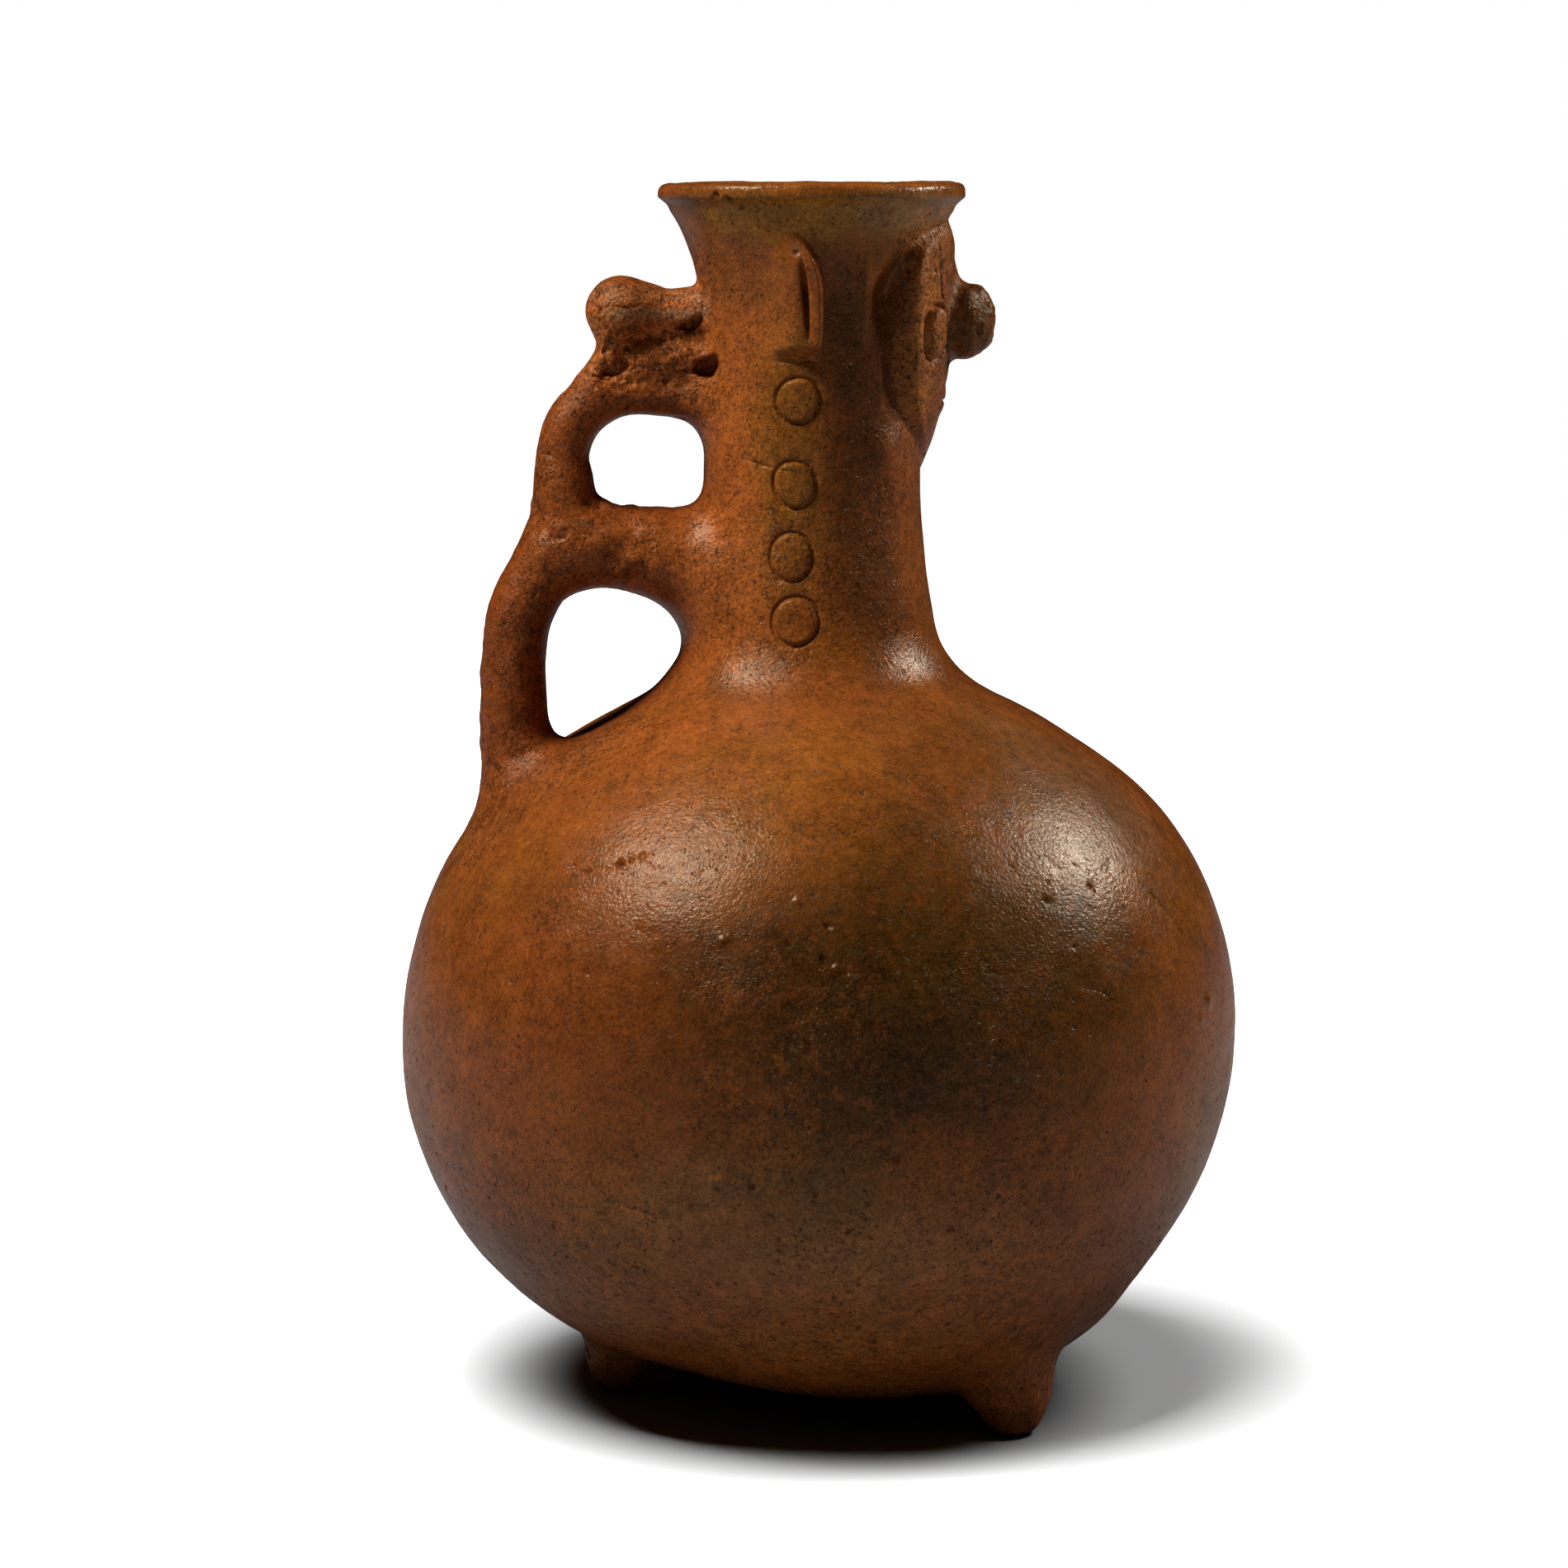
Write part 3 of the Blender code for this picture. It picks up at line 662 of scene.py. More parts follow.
def mask_relief(angle, height):
    half_width = along(mask_edge, height)
    middle_raise = along(mask_raise, height)
    edge_raise = np.minimum(along(mask_edge_raise, height), middle_raise)
    inset = arc(half_width - angle)
    across = np.clip(angle / np.maximum(half_width, 1.0), 0.0, 1.0)
    plate = edge_raise + (middle_raise - edge_raise) * (1.0 - across**2)
    roll_part = smooth_step(height, *MASK_ROLL_FOOT) * (1.0 - smooth_step(height, *MASK_ROLL_TOP))
    plate += MASK_ROLL * roll_part * bump(inset - MASK_ROLL_INSET, MASK_ROLL_INSET)
    inside_range = (height > MASK_EDGE[0][0]) & (height < MASK_RAISE[-1][0])
    on_plate = smooth_step(inset / along(mask_bevel, height), *BEVEL_SPAN) * inside_range
    beside = sum(oval(angle, height, *shape) for shape in BESIDE_MASK)
    relief = plate * on_plate + beside * (1.0 - on_plate)

    mouth = oval_edge(angle, height, 0.0, MOUTH_Z, *MOUTH_RADII)
    relief += MOUTH_RAISE * (1.0 - smooth_step(mouth, -MOUTH_EDGE, 0.5 * MOUTH_EDGE))
    slit = (1.0 - smooth_step(mouth, -MOUTH_EDGE, 0.0)) * bump(height - MOUTH_Z, MOUTH_SLIT_HEIGHT)
    relief -= MOUTH_SLIT_DEPTH * slit

    eye = oval_edge(angle, height, EYE_ANGLE, EYE_Z, *EYE_RADII)
    relief += EYE_RAISE * (1.0 - smooth_step(eye, -EYE_EDGE, 0.0))
    relief += EYE_DOME * bump(oval_gap(angle, height, EYE_ANGLE, EYE_Z, *EYE_RADII), 1.0)
    return relief - EYE_GROOVE_DEPTH * bump(eye - EYE_GROOVE_GAP, EYE_GROOVE_WIDTH)


def ear_relief(angle, height):
    inset = arc(angle - along(ear_front, height))
    front = smooth_step(inset, -0.2 * EAR_EDGE, EAR_EDGE)
    back = 1.0 - smooth_step(angle, *EAR_BACK)
    foot = smooth_step(height, EAR_FRONT[0][0], EAR_FRONT[0][0] + EAR_FOOT_FADE)
    top = 1.0 - smooth_step(height, EAR_FRONT[-1][0] - EAR_TOP_FADE, EAR_FRONT[-1][0])
    share = (height - EAR_SLIT_FOOT[1]) / (EAR_SLIT_TOP[1] - EAR_SLIT_FOOT[1])
    slit_angle = EAR_SLIT_FOOT[0] + (EAR_SLIT_TOP[0] - EAR_SLIT_FOOT[0]) * share
    slit = bump(np.hypot(arc(angle - slit_angle) / EAR_SLIT_WIDTH, 2.0 * share - 1.0), 1.0)
    strip = EAR_STRIP_RAISE * bump(inset - EAR_STRIP_INSET, EAR_STRIP_WIDTH)
    flap = (EAR_RAISE + strip) * front * back * foot * top
    return flap - EAR_SLIT_DEPTH * slit + oval(angle, height, *EAR_CREASE)


def pellet_relief(angle, height):
    relief = 0.0
    for pellet_z, pellet_angle in PELLETS:
        side = (angle - pellet_angle) * math.radians(1.0) * PELLET_SEAT
        turn = np.arctan2(height - pellet_z, side)
        unevenness = PELLET_OVAL * np.sin(2.0 * turn + PELLET_TURN * pellet_z)
        unevenness += PELLET_CORNERS * np.sin(3.0 * turn)
        gap = np.hypot(side, height - pellet_z) - PELLET_RADIUS * (1.0 + unevenness)
        relief = relief + PELLET_RAISE * (1.0 - smooth_step(gap, -PELLET_EDGE, 0.0))
        relief = relief - PELLET_GROOVE_DEPTH * bump(gap - PELLET_GROOVE_GAP, PELLET_GROOVE_WIDTH)
    return relief


def neck_field(points):
    """Distance to the neck, its flare, and the relief on it."""
    height = points[:, 2]
    x = points[:, 0] - neck_shift(height)
    radius = np.hypot(x, points[:, 1])
    field = radius - neck_radius(height)
    near = (np.abs(field) < RELIEF_REACH) & between(height, *RELIEF_HEIGHTS)
    angle = np.degrees(np.abs(np.arctan2(points[near, 1], x[near])))
    relief = sum(relief_of(angle, height[near]) for relief_of in (mask_relief, ear_relief, pellet_relief))
    field[near] -= relief.astype(np.float32)
    return np.maximum(field / neck_slope(height), BELLY_Z - height)


def plain_vessel_field(points):
    """Distance to the outside of the vessel without its relief."""
    height = points[:, 2]
    radius = np.hypot(points[:, 0] - neck_shift(height), points[:, 1])
    neck = np.maximum((radius - neck_radius(height)) / neck_slope(height), BELLY_Z - height)
    return soft_min(neck, belly_field(radius, height), SHOULDER_BLEND)


# Applied clay


def roll_field(points, path, widening):
    """Distance to a roll of clay along (x, z, radius) in the plane of the handle."""
    best = np.ones(len(points), np.float32)
    across = points[:, 1] / widening
    for (x0, z0, r0), (x1, z1, r1) in zip(path[:-1], path[1:]):
        dx, dz = x1 - x0, z1 - z0
        share = np.clip(((points[:, 0] - x0) * dx + (points[:, 2] - z0) * dz) / (dx * dx + dz * dz), 0.0, 1.0)
        gap_x = points[:, 0] - x0 - share * dx
        gap_z = points[:, 2] - z0 - share * dz
        gap = np.sqrt(gap_x**2 + gap_z**2 + across**2) - (r0 + share * (r1 - r0))
        best = np.minimum(best, gap)
    return best


def lump_field(points, centre, radii, power=2.0):
    """Distance to an ellipsoid of clay, squarer with a higher power."""
    radii = np.float32(radii)
    offset = np.maximum(np.abs(points - np.float32(centre)) / radii, 1e-4)
    share = (offset**power).sum(axis=1) ** (1.0 / power)
    steepness = share ** (1.0 - power) * np.linalg.norm(offset ** (power - 1.0) / radii, axis=1)
    return (share - 1.0) / steepness


def near_box(points, box):
    low, high = np.float32(box)
    return np.all((points > low) & (points < high), axis=1)


def join(field, points, box, blend, shape):
    """Joins a shape to the field inside a box around it."""
    near = near_box(points, box)
    if near.any():
        field[near] = soft_min(field[near], shape(points[near]), blend)


def handle_field(points):
    lower = roll_field(points, lower_loop, STRAP_WIDENING)
    upper = roll_field(points, upper_strap, STRAP_WIDENING)
    upper = soft_min(upper, roll_field(points, LOOP_CORNER, STRAP_WIDENING), CORNER_BLEND)
    return soft_min(lower, upper, LOOPS_BLEND)


def animal_field(points):
    body = roll_field(points, trunk, TRUNK_WIDENING)
    body = soft_min(body, lump_field(points, HEAD, HEAD_RADII), ANIMAL_BLEND)
    body = soft_min(body, roll_field(points, forelimb, LIMB_WIDENING), ANIMAL_BLEND)
    return soft_min(body, roll_field(points, web, WEB_WIDENING), ANIMAL_BLEND)


def slot_field(points, corners):
    """Distance to the two hollows that one outline cuts from both sides."""
    corners = np.float32(corners)
    middle = corners.mean(axis=0)
    gap = np.full(len(points), -1.0, np.float32)
    for start, end in zip(corners, np.roll(corners, -1, axis=0)):
        outward = np.array([end[1] - start[1], start[0] - end[0]]) / np.linalg.norm(end - start)
        if np.dot(outward, middle - start) > 0.0:
            outward = -outward
        past_side = (points[:, 0] - start[0]) * outward[0] + (points[:, 2] - start[1]) * outward[1]
        gap = soft_max(gap, past_side, SLOT_CORNER)
    return soft_max(gap + SLOT_INSET, SLOT_FLOOR - np.abs(points[:, 1]), SLOT_FLOOR_EDGE)


def foot_field(points, angle, reach, sole_radius):
    """Distance to a foot, whose outer side is steep and whose inner side slopes to the belly's underside."""
    height = points[:, 2]
    above = np.maximum(height - FOOT_STRAIGHT, 0.0)
    out = points[:, 0] * math.cos(angle) + points[:, 1] * math.sin(angle) - reach + FOOT_LEAN * above
    side = points[:, 1] * math.cos(angle) - points[:, 0] * math.sin(angle)
    taper = SOLE_TAPER * (1.0 - smooth_step(height, 0.0, SOLE_TAPER_HEIGHT))
    gap = np.hypot(out, side) - (sole_radius - taper + FOOT_FLARE * above)
    return soft_max(gap / np.where(above > 0.0, FOOT_SLOPE, 1.0), -height, SOLE_ROUNDING)


def nose_field(points):
    knob = lump_field(points, NOSE_KNOB, NOSE_KNOB_RADII, NOSE_KNOB_POWER)
    bridge = lump_field(points, NOSE_BRIDGE, NOSE_BRIDGE_RADII)
    return soft_min(knob, bridge, NOSE_BLEND)


def rim_height(points):
    """The top of the wavy lip."""
    turn = np.arctan2(points[:, 1], points[:, 0])
    waves = sum(height * np.sin(count * turn + phase) for height, count, phase in RIM_WAVES)
    return RIM_Z + RIM_LIFT + waves + RIM_ROUGHNESS * noise(points, RIM_ROUGHNESS_SIZE, 17.0)


def even_clay_field(points):
    """Distance to the jug's clay without its wear: below zero inside the wall, above zero in the air."""
    plain = plain_vessel_field(points)
    radius = np.hypot(points[:, 0], points[:, 1])
    belly = belly_field(radius, points[:, 2]) - uneven(points)
    field = soft_min(neck_field(points), belly, SHOULDER_BLEND)
    join(field, points, HANDLE_BOX, HANDLE_BLEND, handle_field)
    join(field, points, ANIMAL_BOX, ANIMAL_BLEND, animal_field)
    join(field, points, NOSE_BOX, NOSE_JOINT, nose_field)
    for angle, reach, sole_radius in FEET:
        sole = (reach * math.cos(angle), reach * math.sin(angle), 0.0)
        box = np.add(FOOT_BOX, sole)
        join(field, points, box, FOOT_BLEND, lambda near: foot_field(near, angle, reach, sole_radius))
    near = near_box(points, SLOTS_BOX)
    if near.any():
        for corners in SLOTS:
            field[near] = soft_max(field[near], -slot_field(points[near], corners), SLOT_MOUTH_EDGE)
    wall = LIP_WALL + (WALL - LIP_WALL) * np.clip((RIM_Z - points[:, 2]) / (0.5 * RIM_FLARE_LENGTH), 0.0, 1.0)
    field = np.maximum(field, -(plain + wall))
    return soft_max(field, points[:, 2] - rim_height(points), LIP_ROUNDING).astype(np.float32)


# The places in the photograph


def seen_at(pixels, steps=60):
    """The points of the clay that the photograph shows at its pixels, found along their rays."""
    origin = np.array(from_camera_side(CAMERA_SIDE, -CAMERA_DISTANCE, CAMERA_HEIGHT), dtype=np.float32)
    focal = LENS / SENSOR * PHOTO_SIZE
    rays = []
    for u, v in pixels:
        across, up = (u - 0.5 * PHOTO_SIZE) / focal, (0.5 * PHOTO_SIZE - v) / focal
        away = math.cos(CAMERA_PITCH) + up * math.sin(CAMERA_PITCH)
        rise = up * math.cos(CAMERA_PITCH) - math.sin(CAMERA_PITCH)
        rays.append(from_camera_side(across, away, rise).normalized())
    rays = np.array(rays, dtype=np.float32)
    reach = np.full(len(rays), CAMERA_DISTANCE - SEEK_MARGIN, dtype=np.float32)
    for _ in range(steps):
        reach += SEEK_STRIDE * even_clay_field(origin + rays * reach[:, None])
    return origin + rays * reach[:, None]


# Wear and flaws


def spots(places, depth_share):
    """Single pits or lumps, as lines of one point with a half width and a depth."""
    points = seen_at([pixel for pixel, _ in places])
    return [(point[None], width, depth_share * width) for point, (_, width) in zip(points, places)]


flaws = spots(PITS, PIT_DEPTH_SHARE) + spots(LUMPS, -LUMP_RAISE_SHARE)
flaws += [(seen_at(pixels), width, CRACK_DEPTH_SHARE * width) for pixels, width in CRACKS]


def line_gap(points, line):
    """Distance to a line through a few points."""
    best = np.ones(len(points), np.float32)
    for start, end in zip(line[:-1], line[1:]):
        step = end - start
        share = np.clip((points - start) @ step / np.dot(step, step), 0.0, 1.0)
        best = np.minimum(best, np.linalg.norm(points - start - share[:, None] * step, axis=1))
    return best


def flaw_relief(points):
    """How far the single pits, lumps and cracks leave the even clay."""
    relief = np.zeros(len(points), np.float32)
    if not len(points):
        return relief
    low, high = points.min(axis=0), points.max(axis=0)
    for line, width, depth in flaws:
        reach = width + FLAW_WAVER
        line_low, line_high = line.min(axis=0) - reach, line.max(axis=0) + reach
        if np.any(line_low > high) or np.any(line_high < low):
            continue
        near = near_box(points, (line_low, line_high))
        if not near.any():
            continue
        place = points[near]
        gap = line_gap(place, line) if len(line) > 1 else np.linalg.norm(place - line[0], axis=1)
        gap = np.maximum(gap + min(FLAW_WAVER, 0.4 * width) * noise(place, FLAW_WAVER_SIZE, 7.0), 0.0)
        relief[near] -= depth * bump(gap, width)
    return relief


def box_inset(points, low, high):
    """How deep each point lies inside a box, below zero outside it."""
    return np.minimum(points - np.float32(low), np.float32(high) - points).min(axis=1)


def grain(points):
    """How coarse the clay's grain is."""
    coarse = np.full(len(points), BURNISHED_GRAIN, np.float32)
    for low, high, fade, value in GRAIN_ZONES:
        coarse += (value - coarse) * smooth_step(box_inset(points, low, high), 0.0, fade)
    return coarse * (1.0 + GRAIN_SPREAD * noise(points, GRAIN_SPREAD_SIZE, 71.0))


def wear_relief(points):
    """How far the worn surface stands off an even one."""
    relief = flaw_relief(points)
    for size, height, offset in WEAR:
        relief += height * noise(points, size, offset)
    fine = FINE_WEAR * noise(points, FINE_WEAR_SIZE, 25.0)
    fine -= PITTING_DEPTH * smooth_step(noise(points, PITTING_SIZE, 35.0), *PITTING_SPAN)
    relief += grain(points) * fine
    for low, high, size, height in ROUGH_ZONES:
        zone = near_box(points, (low, high))
        if zone.any():
            place = points[zone]
            crumbs = noise(place, size, 45.0) + 0.5 * noise(place, 0.5 * size, 55.0)
            relief[zone] += height * crumbs * smooth_step(box_inset(place, low, high), 0.0, ZONE_FADE)
    return relief


def clay_field(points):
    """Distance to the clay with its wear, which the inside of the vessel doesn't get."""
    field = even_clay_field(points)
    outer = np.abs(field) < WEAR_REACH
    outer[outer] = plain_vessel_field(points[outer]) > -OUTER_CLAY
    field[outer] -= wear_relief(points[outer])
    return field


# From the field to a mesh


def filled_grid(low, high):
    """The field on a grid of voxels. Blocks far from the surface keep the value of their middle."""
    counts = np.ceil((high - low) / (VOXEL * BLOCK)).astype(int)
    blocks = np.indices(counts).reshape(3, -1).T.astype(np.float32)
    middle = even_clay_field(low + (blocks + 0.5) * BLOCK * VOXEL).reshape(counts)
    values = middle.repeat(BLOCK, 0).repeat(BLOCK, 1).repeat(BLOCK, 2)
    offsets = np.indices((BLOCK,) * 3).reshape(3, -1).T
    near = np.argwhere(np.abs(middle) < BLOCK_REACH)
    for part in np.array_split(near, max(1, len(near) // BLOCKS_AT_ONCE)):
        cells = (part[:, None, :] * BLOCK + offsets).reshape(-1, 3)
        values[tuple(cells.T)] = even_clay_field(low + cells.astype(np.float32) * VOXEL)
    return values


def net_over(values, low):
    """A net of quads between the voxels that are inside the clay and those that aren't."""
    inside = values < 0.0
    corners = [(x, y, z) for x in (0, 1) for y in (0, 1) for z in (0, 1)]
    sizes = [count - 1 for count in values.shape]
    windows = [tuple(slice(c, c + s) for c, s in zip(corner, sizes)) for corner in corners]
    total = sum(inside[window].astype(np.uint8) for window in windows)
    active = (total > 0) & (total < 8)
    cells = np.argwhere(active)
    numbers = np.full(active.shape, -1, dtype=np.int32)
    numbers[active] = np.arange(len(cells), dtype=np.int32)
    at_corner = [values[tuple((cells + corner).T)] for corner in corners]
    middle = np.zeros((len(cells), 3), dtype=np.float32)
    crossings = np.zeros(len(cells), dtype=np.float32)
    for first in range(8):
        for second in range(first + 1, 8):
            step = np.subtract(corners[second], corners[first])
            if np.abs(step).sum() != 1:
                continue
            start, end = at_corner[first], at_corner[second]
            crosses = (start < 0.0) != (end < 0.0)
            share = np.where(crosses, start / np.where(crosses, start - end, 1.0), 0.0)
            middle += crosses[:, None] * (np.array(corners[first]) + share[:, None] * step)
            crossings += crosses
    vertices = low + (cells + middle / crossings[:, None]) * VOXEL

    quads = []
    for axis in range(3):
        side, other = (axis + 1) % 3, (axis + 2) % 3
        start = np.moveaxis(inside, axis, 0)[:-1]
        end = np.moveaxis(inside, axis, 0)[1:]
        edges = np.argwhere(np.moveaxis(start != end, 0, axis))
        edges = edges[(edges[:, side] > 0) & (edges[:, other] > 0)]
        ring = []
        for side_back, other_back in ((0, 0), (1, 0), (1, 1), (0, 1)):
            cell = edges.copy()
            cell[:, side] -= side_back
            cell[:, other] -= other_back
            ring.append(numbers[tuple(cell.T)])
        ring = np.stack(ring, axis=1)
        starts_inside = inside[tuple(edges.T)]
        ring[~starts_inside] = ring[~starts_inside][:, ::-1]
        quads.append(ring)
    return vertices.astype(np.float32), np.concatenate(quads)


def in_parts(function, points, size=50000):
    return np.concatenate([function(part) for part in np.array_split(points, max(1, len(points) // size))])


def settle(points, largest_step, rounds=2):
    """Moves points onto the surface of the field."""
    for _ in range(rounds):
        field = in_parts(clay_field, points)
        slope = np.empty_like(points)
        for axis in range(3):
            probe = points.copy()
            probe[:, axis] += PROBE
            slope[:, axis] = (in_parts(clay_field, probe) - field) / PROBE
        steep = np.maximum((slope**2).sum(axis=1), LEAST_STEEPNESS)
        move = slope * (field / steep)[:, None]
        points = points - np.clip(move, -largest_step, largest_step)
    return points


def add_object(name, data):
    thing = bpy.data.objects.new(name, data)
    bpy.context.scene.collection.objects.link(thing)
    return thing


def mesh_from(name, points, quads):
    mesh = bpy.data.meshes.new(name)
    mesh.vertices.add(len(points))
    mesh.vertices.foreach_set("co", points.astype(np.float32).ravel())
    mesh.loops.add(quads.size)
    mesh.loops.foreach_set("vertex_index", quads.astype(np.int32).ravel())
    mesh.polygons.add(len(quads))
    mesh.polygons.foreach_set("loop_start", np.arange(0, quads.size, 4, dtype=np.int32))
    mesh.update(calc_edges=True)
    mesh.validate()
    return mesh


def vertex_places(mesh):
    points = np.empty(3 * len(mesh.vertices), dtype=np.float32)
    mesh.vertices.foreach_get("co", points)
    return points.reshape(-1, 3)


def wants_detail(points, level):
    """Where faces must be small: at the flaws and on the relief, of which the second level takes the finest."""
    height = points[:, 2]
    x = points[:, 0] - neck_shift(height)
    outside = np.hypot(x, points[:, 1]) > neck_radius(height) - INNER_WALL
    angle = np.degrees(np.abs(np.arctan2(points[:, 1], x)))
    if level == 0:
        low, high, widest = RELIEF_DETAIL
        wanted = outside & between(height, low, high) & (angle < widest)
        wanted |= near_box(points, ANIMAL_DETAIL)
    else:
        face = near_box(points, FACE_DETAIL) & (angle < FACE_DETAIL_ANGLE)
        ear = between(height, *EAR_DETAIL_HEIGHTS) & between(angle, *EAR_DETAIL_ANGLES)
        wanted = outside & (face | ear)
        wanted |= near_box(points, SLOTS_DETAIL)
        for pellet_z, pellet_angle in PELLETS:
            gap = np.hypot(arc(angle - pellet_angle), height - pellet_z)
            wanted |= outside & (np.abs(gap - PELLET_RADIUS) < PELLET_DETAIL)
    return wanted | (np.abs(in_parts(flaw_relief, points)) > 0.0)


def refine(mesh, level):
    """Splits the faces that need detail in four, and settles their corners."""
    centres = np.empty(3 * len(mesh.polygons), dtype=np.float32)
    mesh.polygons.foreach_get("center", centres)
    chosen = np.flatnonzero(wants_detail(centres.reshape(-1, 3), level))
    work = bmesh.new()
    work.from_mesh(mesh)
    work.faces.ensure_lookup_table()
    edges = list({edge for index in chosen for edge in work.faces[index].edges})
    bmesh.ops.subdivide_edges(work, edges=edges, cuts=1, use_grid_fill=True)
    work.to_mesh(mesh)
    work.free()
    points = vertex_places(mesh)
    fine = wants_detail(points, level)
    points[fine] = settle(points[fine], 0.5 * VOXEL / 2 ** (level + 1))
    mesh.vertices.foreach_set("co", points.ravel())
    mesh.update()


def thin_out(shape, most_triangles):
    """Collapses edges where the clay is even, until the mesh is within its limit."""
    triangles = sum(len(face.vertices) - 2 for face in shape.data.polygons)
    modifier = shape.modifiers.new("thin out", "DECIMATE")
    modifier.ratio = min(1.0, most_triangles / triangles)
    bpy.context.view_layer.update()
    graph = bpy.context.evaluated_depsgraph_get()
    thinned = bpy.data.meshes.new_from_object(shape.evaluated_get(graph))
    shape.modifiers.clear()
    full = shape.data
    shape.data = thinned
    bpy.data.meshes.remove(full)
    thinned.name = "jug clay"
    thinned.shade_smooth()
    return triangles, len(thinned.polygons)


def make_clay_mesh():
    low = np.array([side - GRID_MARGIN for side in jug_low], dtype=np.float32)
    high = np.array([side + GRID_MARGIN for side in jug_high], dtype=np.float32)
    values = filled_grid(low, high)
    points, quads = net_over(values, low)
    mesh = mesh_from("jug clay", settle(points, 0.6 * VOXEL), quads)
    for level in range(FINE_LEVELS):
        refine(mesh, level)
    points = vertex_places(mesh)
    points[:, 2] = np.maximum(points[:, 2], 0.0)
    mesh.vertices.foreach_set("co", points.ravel())
    shape = add_object("jug_clay", mesh)
    print("triangles", thin_out(shape, MOST_TRIANGLES))
    return shape


# The clay's colours

ORANGE = (0.262, 0.070, 0.0125)
BRIGHT_ORANGE = (0.370, 0.098, 0.0170)
RED_ORANGE = (0.200, 0.043, 0.0070)
RED_BROWN = (0.205, 0.050, 0.0095)
OCHRE = (0.270, 0.104, 0.0090)
# Ochre brightened with painted light from below, for the flare under the lip.
GOLD_AND_PAINTED_LIGHT = (0.370, 0.150, 0.0150)
# A painted highlight's colour, for the lit bevel of the mask.
PAINTED_MASK_HIGHLIGHT = (0.420, 0.135, 0.0260)
OLIVE = (0.090, 0.038, 0.0065)
UMBER = (0.050, 0.019, 0.0040)
HAZE = (0.180, 0.092, 0.0380)
DUST = (0.300, 0.180, 0.0900)
# Dark colour for pits and cracks: partly dirt in them, partly painted shade.
GRIME_AND_SHADE = (0.030, 0.012, 0.0045)

# Each patch of colour is (pixel, half width, half height, colour, strength).
SEEN_PATCHES = [
    ((640, 640), 0.030, 0.100, RED_ORANGE, 0.95),
    ((900, 600), 0.020, 0.070, BRIGHT_ORANGE, 0.85),
    ((760, 960), 0.050, 0.022, BRIGHT_ORANGE, 0.40),
    ((785, 400), 0.020, 0.018, BRIGHT_ORANGE, 0.85),
    ((640, 1200), 0.040, 0.040, RED_BROWN, 0.65),
    ((810, 1340), 0.044, 0.028, UMBER, 0.35),
    ((1180, 400), 0.008, 0.012, OLIVE, 0.60),
    ((1050, 1210), 0.056, 0.044, UMBER, 0.70),
    ((1090, 1220), 0.036, 0.030, UMBER, 0.90),
    ((1180, 1180), 0.050, 0.036, OLIVE, 0.70),
    ((1330, 1180), 0.030, 0.030, OLIVE, 0.50),
    ((930, 1250), 0.044, 0.036, UMBER, 0.55),
    ((1240, 930), 0.042, 0.020, OLIVE, 0.45),
    # Darker clay down the front of the neck and in the hollow beside the mask: partly a dark fire cloud, partly
    # painted shade.
    ((1040, 640), 0.012, 0.050, UMBER, 0.50),
    ((1060, 440), 0.012, 0.030, UMBER, 0.50),
    ((1020, 380), 0.008, 0.018, UMBER, 0.50),
    ((955, 560), 0.012, 0.050, OCHRE, 0.60),
    ((960, 600), 0.009, 0.046, UMBER, 0.28),
    # Under the lip: the flare's ochre band, brightened as painted light from below.
    ((1000, 262), 0.050, 0.007, GOLD_AND_PAINTED_LIGHT, 0.85),
    ((1090, 255), 0.022, 0.006, DUST, 0.45),
    ((915, 252), 0.012, 0.004, HAZE, 0.20),
    ((800, 356), 0.008, 0.003, DUST, 0.20),
    ((828, 380), 0.0040, 0.0020, DUST, 0.55),
    ((856, 370), 0.0022, 0.0070, DUST, 0.35),
    ((965, 302), 0.0020, 0.0030, DUST, 0.35),
    ((1440, 1270), 0.016, 0.014, RED_BROWN, 0.80),
    ((1475, 1215), 0.008, 0.018, HAZE, 0.35),
    ((700, 1330), 0.050, 0.030, RED_BROWN, 0.45),
    ((950, 1500), 0.060, 0.022, DUST, 0.24),
    ((1455, 1390), 0.020, 0.026, HAZE, 0.55),
    ((1000, 1440), 0.020, 0.014, OLIVE, 0.45),
    ((920, 1590), 0.040, 0.010, ORANGE, 0.45),
    # A light band along the mask's bevel: a painted highlight where the right softbox lights it.
    ((1122, 400), 0.007, 0.036, PAINTED_MASK_HIGHLIGHT, 0.85),
    ((1290, 950), 0.030, 0.020, HAZE, 0.40),
]

# The hidden sides, in keeping: (angle from the face, height), half width, half height, colour, strength.
HIDDEN_PATCHES = [
    ((60.0, 0.120), 0.050, 0.036, OLIVE, 0.55),
    ((110.0, 0.085), 0.040, 0.030, UMBER, 0.40),
    ((150.0, 0.140), 0.060, 0.030, RED_BROWN, 0.50),
    ((100.0, 0.250), 0.012, 0.045, OCHRE, 0.80),
    ((90.0, 0.318), 0.060, 0.007, OCHRE, 0.60),
    ((20.0, 0.060), 0.050, 0.022, HAZE, 0.30),
]

# Broad changes of tone: (size, noise offset, from, to, colour, strength).
TONE_CHANGES = [
    (0.045, 21.0, -0.1, 0.6, RED_BROWN, 0.50),
    (0.030, 31.0, 0.1, 0.7, OCHRE, 0.30),
    (0.028, 41.0, 0.3, 0.8, OLIVE, 0.35),
    (0.007, 51.0, 0.2, 0.9, OLIVE, 0.30),
    (0.004, 61.0, 0.3, 0.9, RED_BROWN, 0.40),
]


PATCH_FADE = (0.35, 1.25)

# What makes the edges of the patches uneven: (share, size, noise offset).
PATCH_WARPS = [
    (0.22, 0.020, 3.0),
    (0.14, 0.005, 9.0),
]
# The depths over which pits and cracks darken: partly dirt, partly painted shade.
GRIME_AND_SHADE_DEPTHS = (0.0001, 0.0009)
GRIME_AND_SHADE_STRENGTH = 0.75


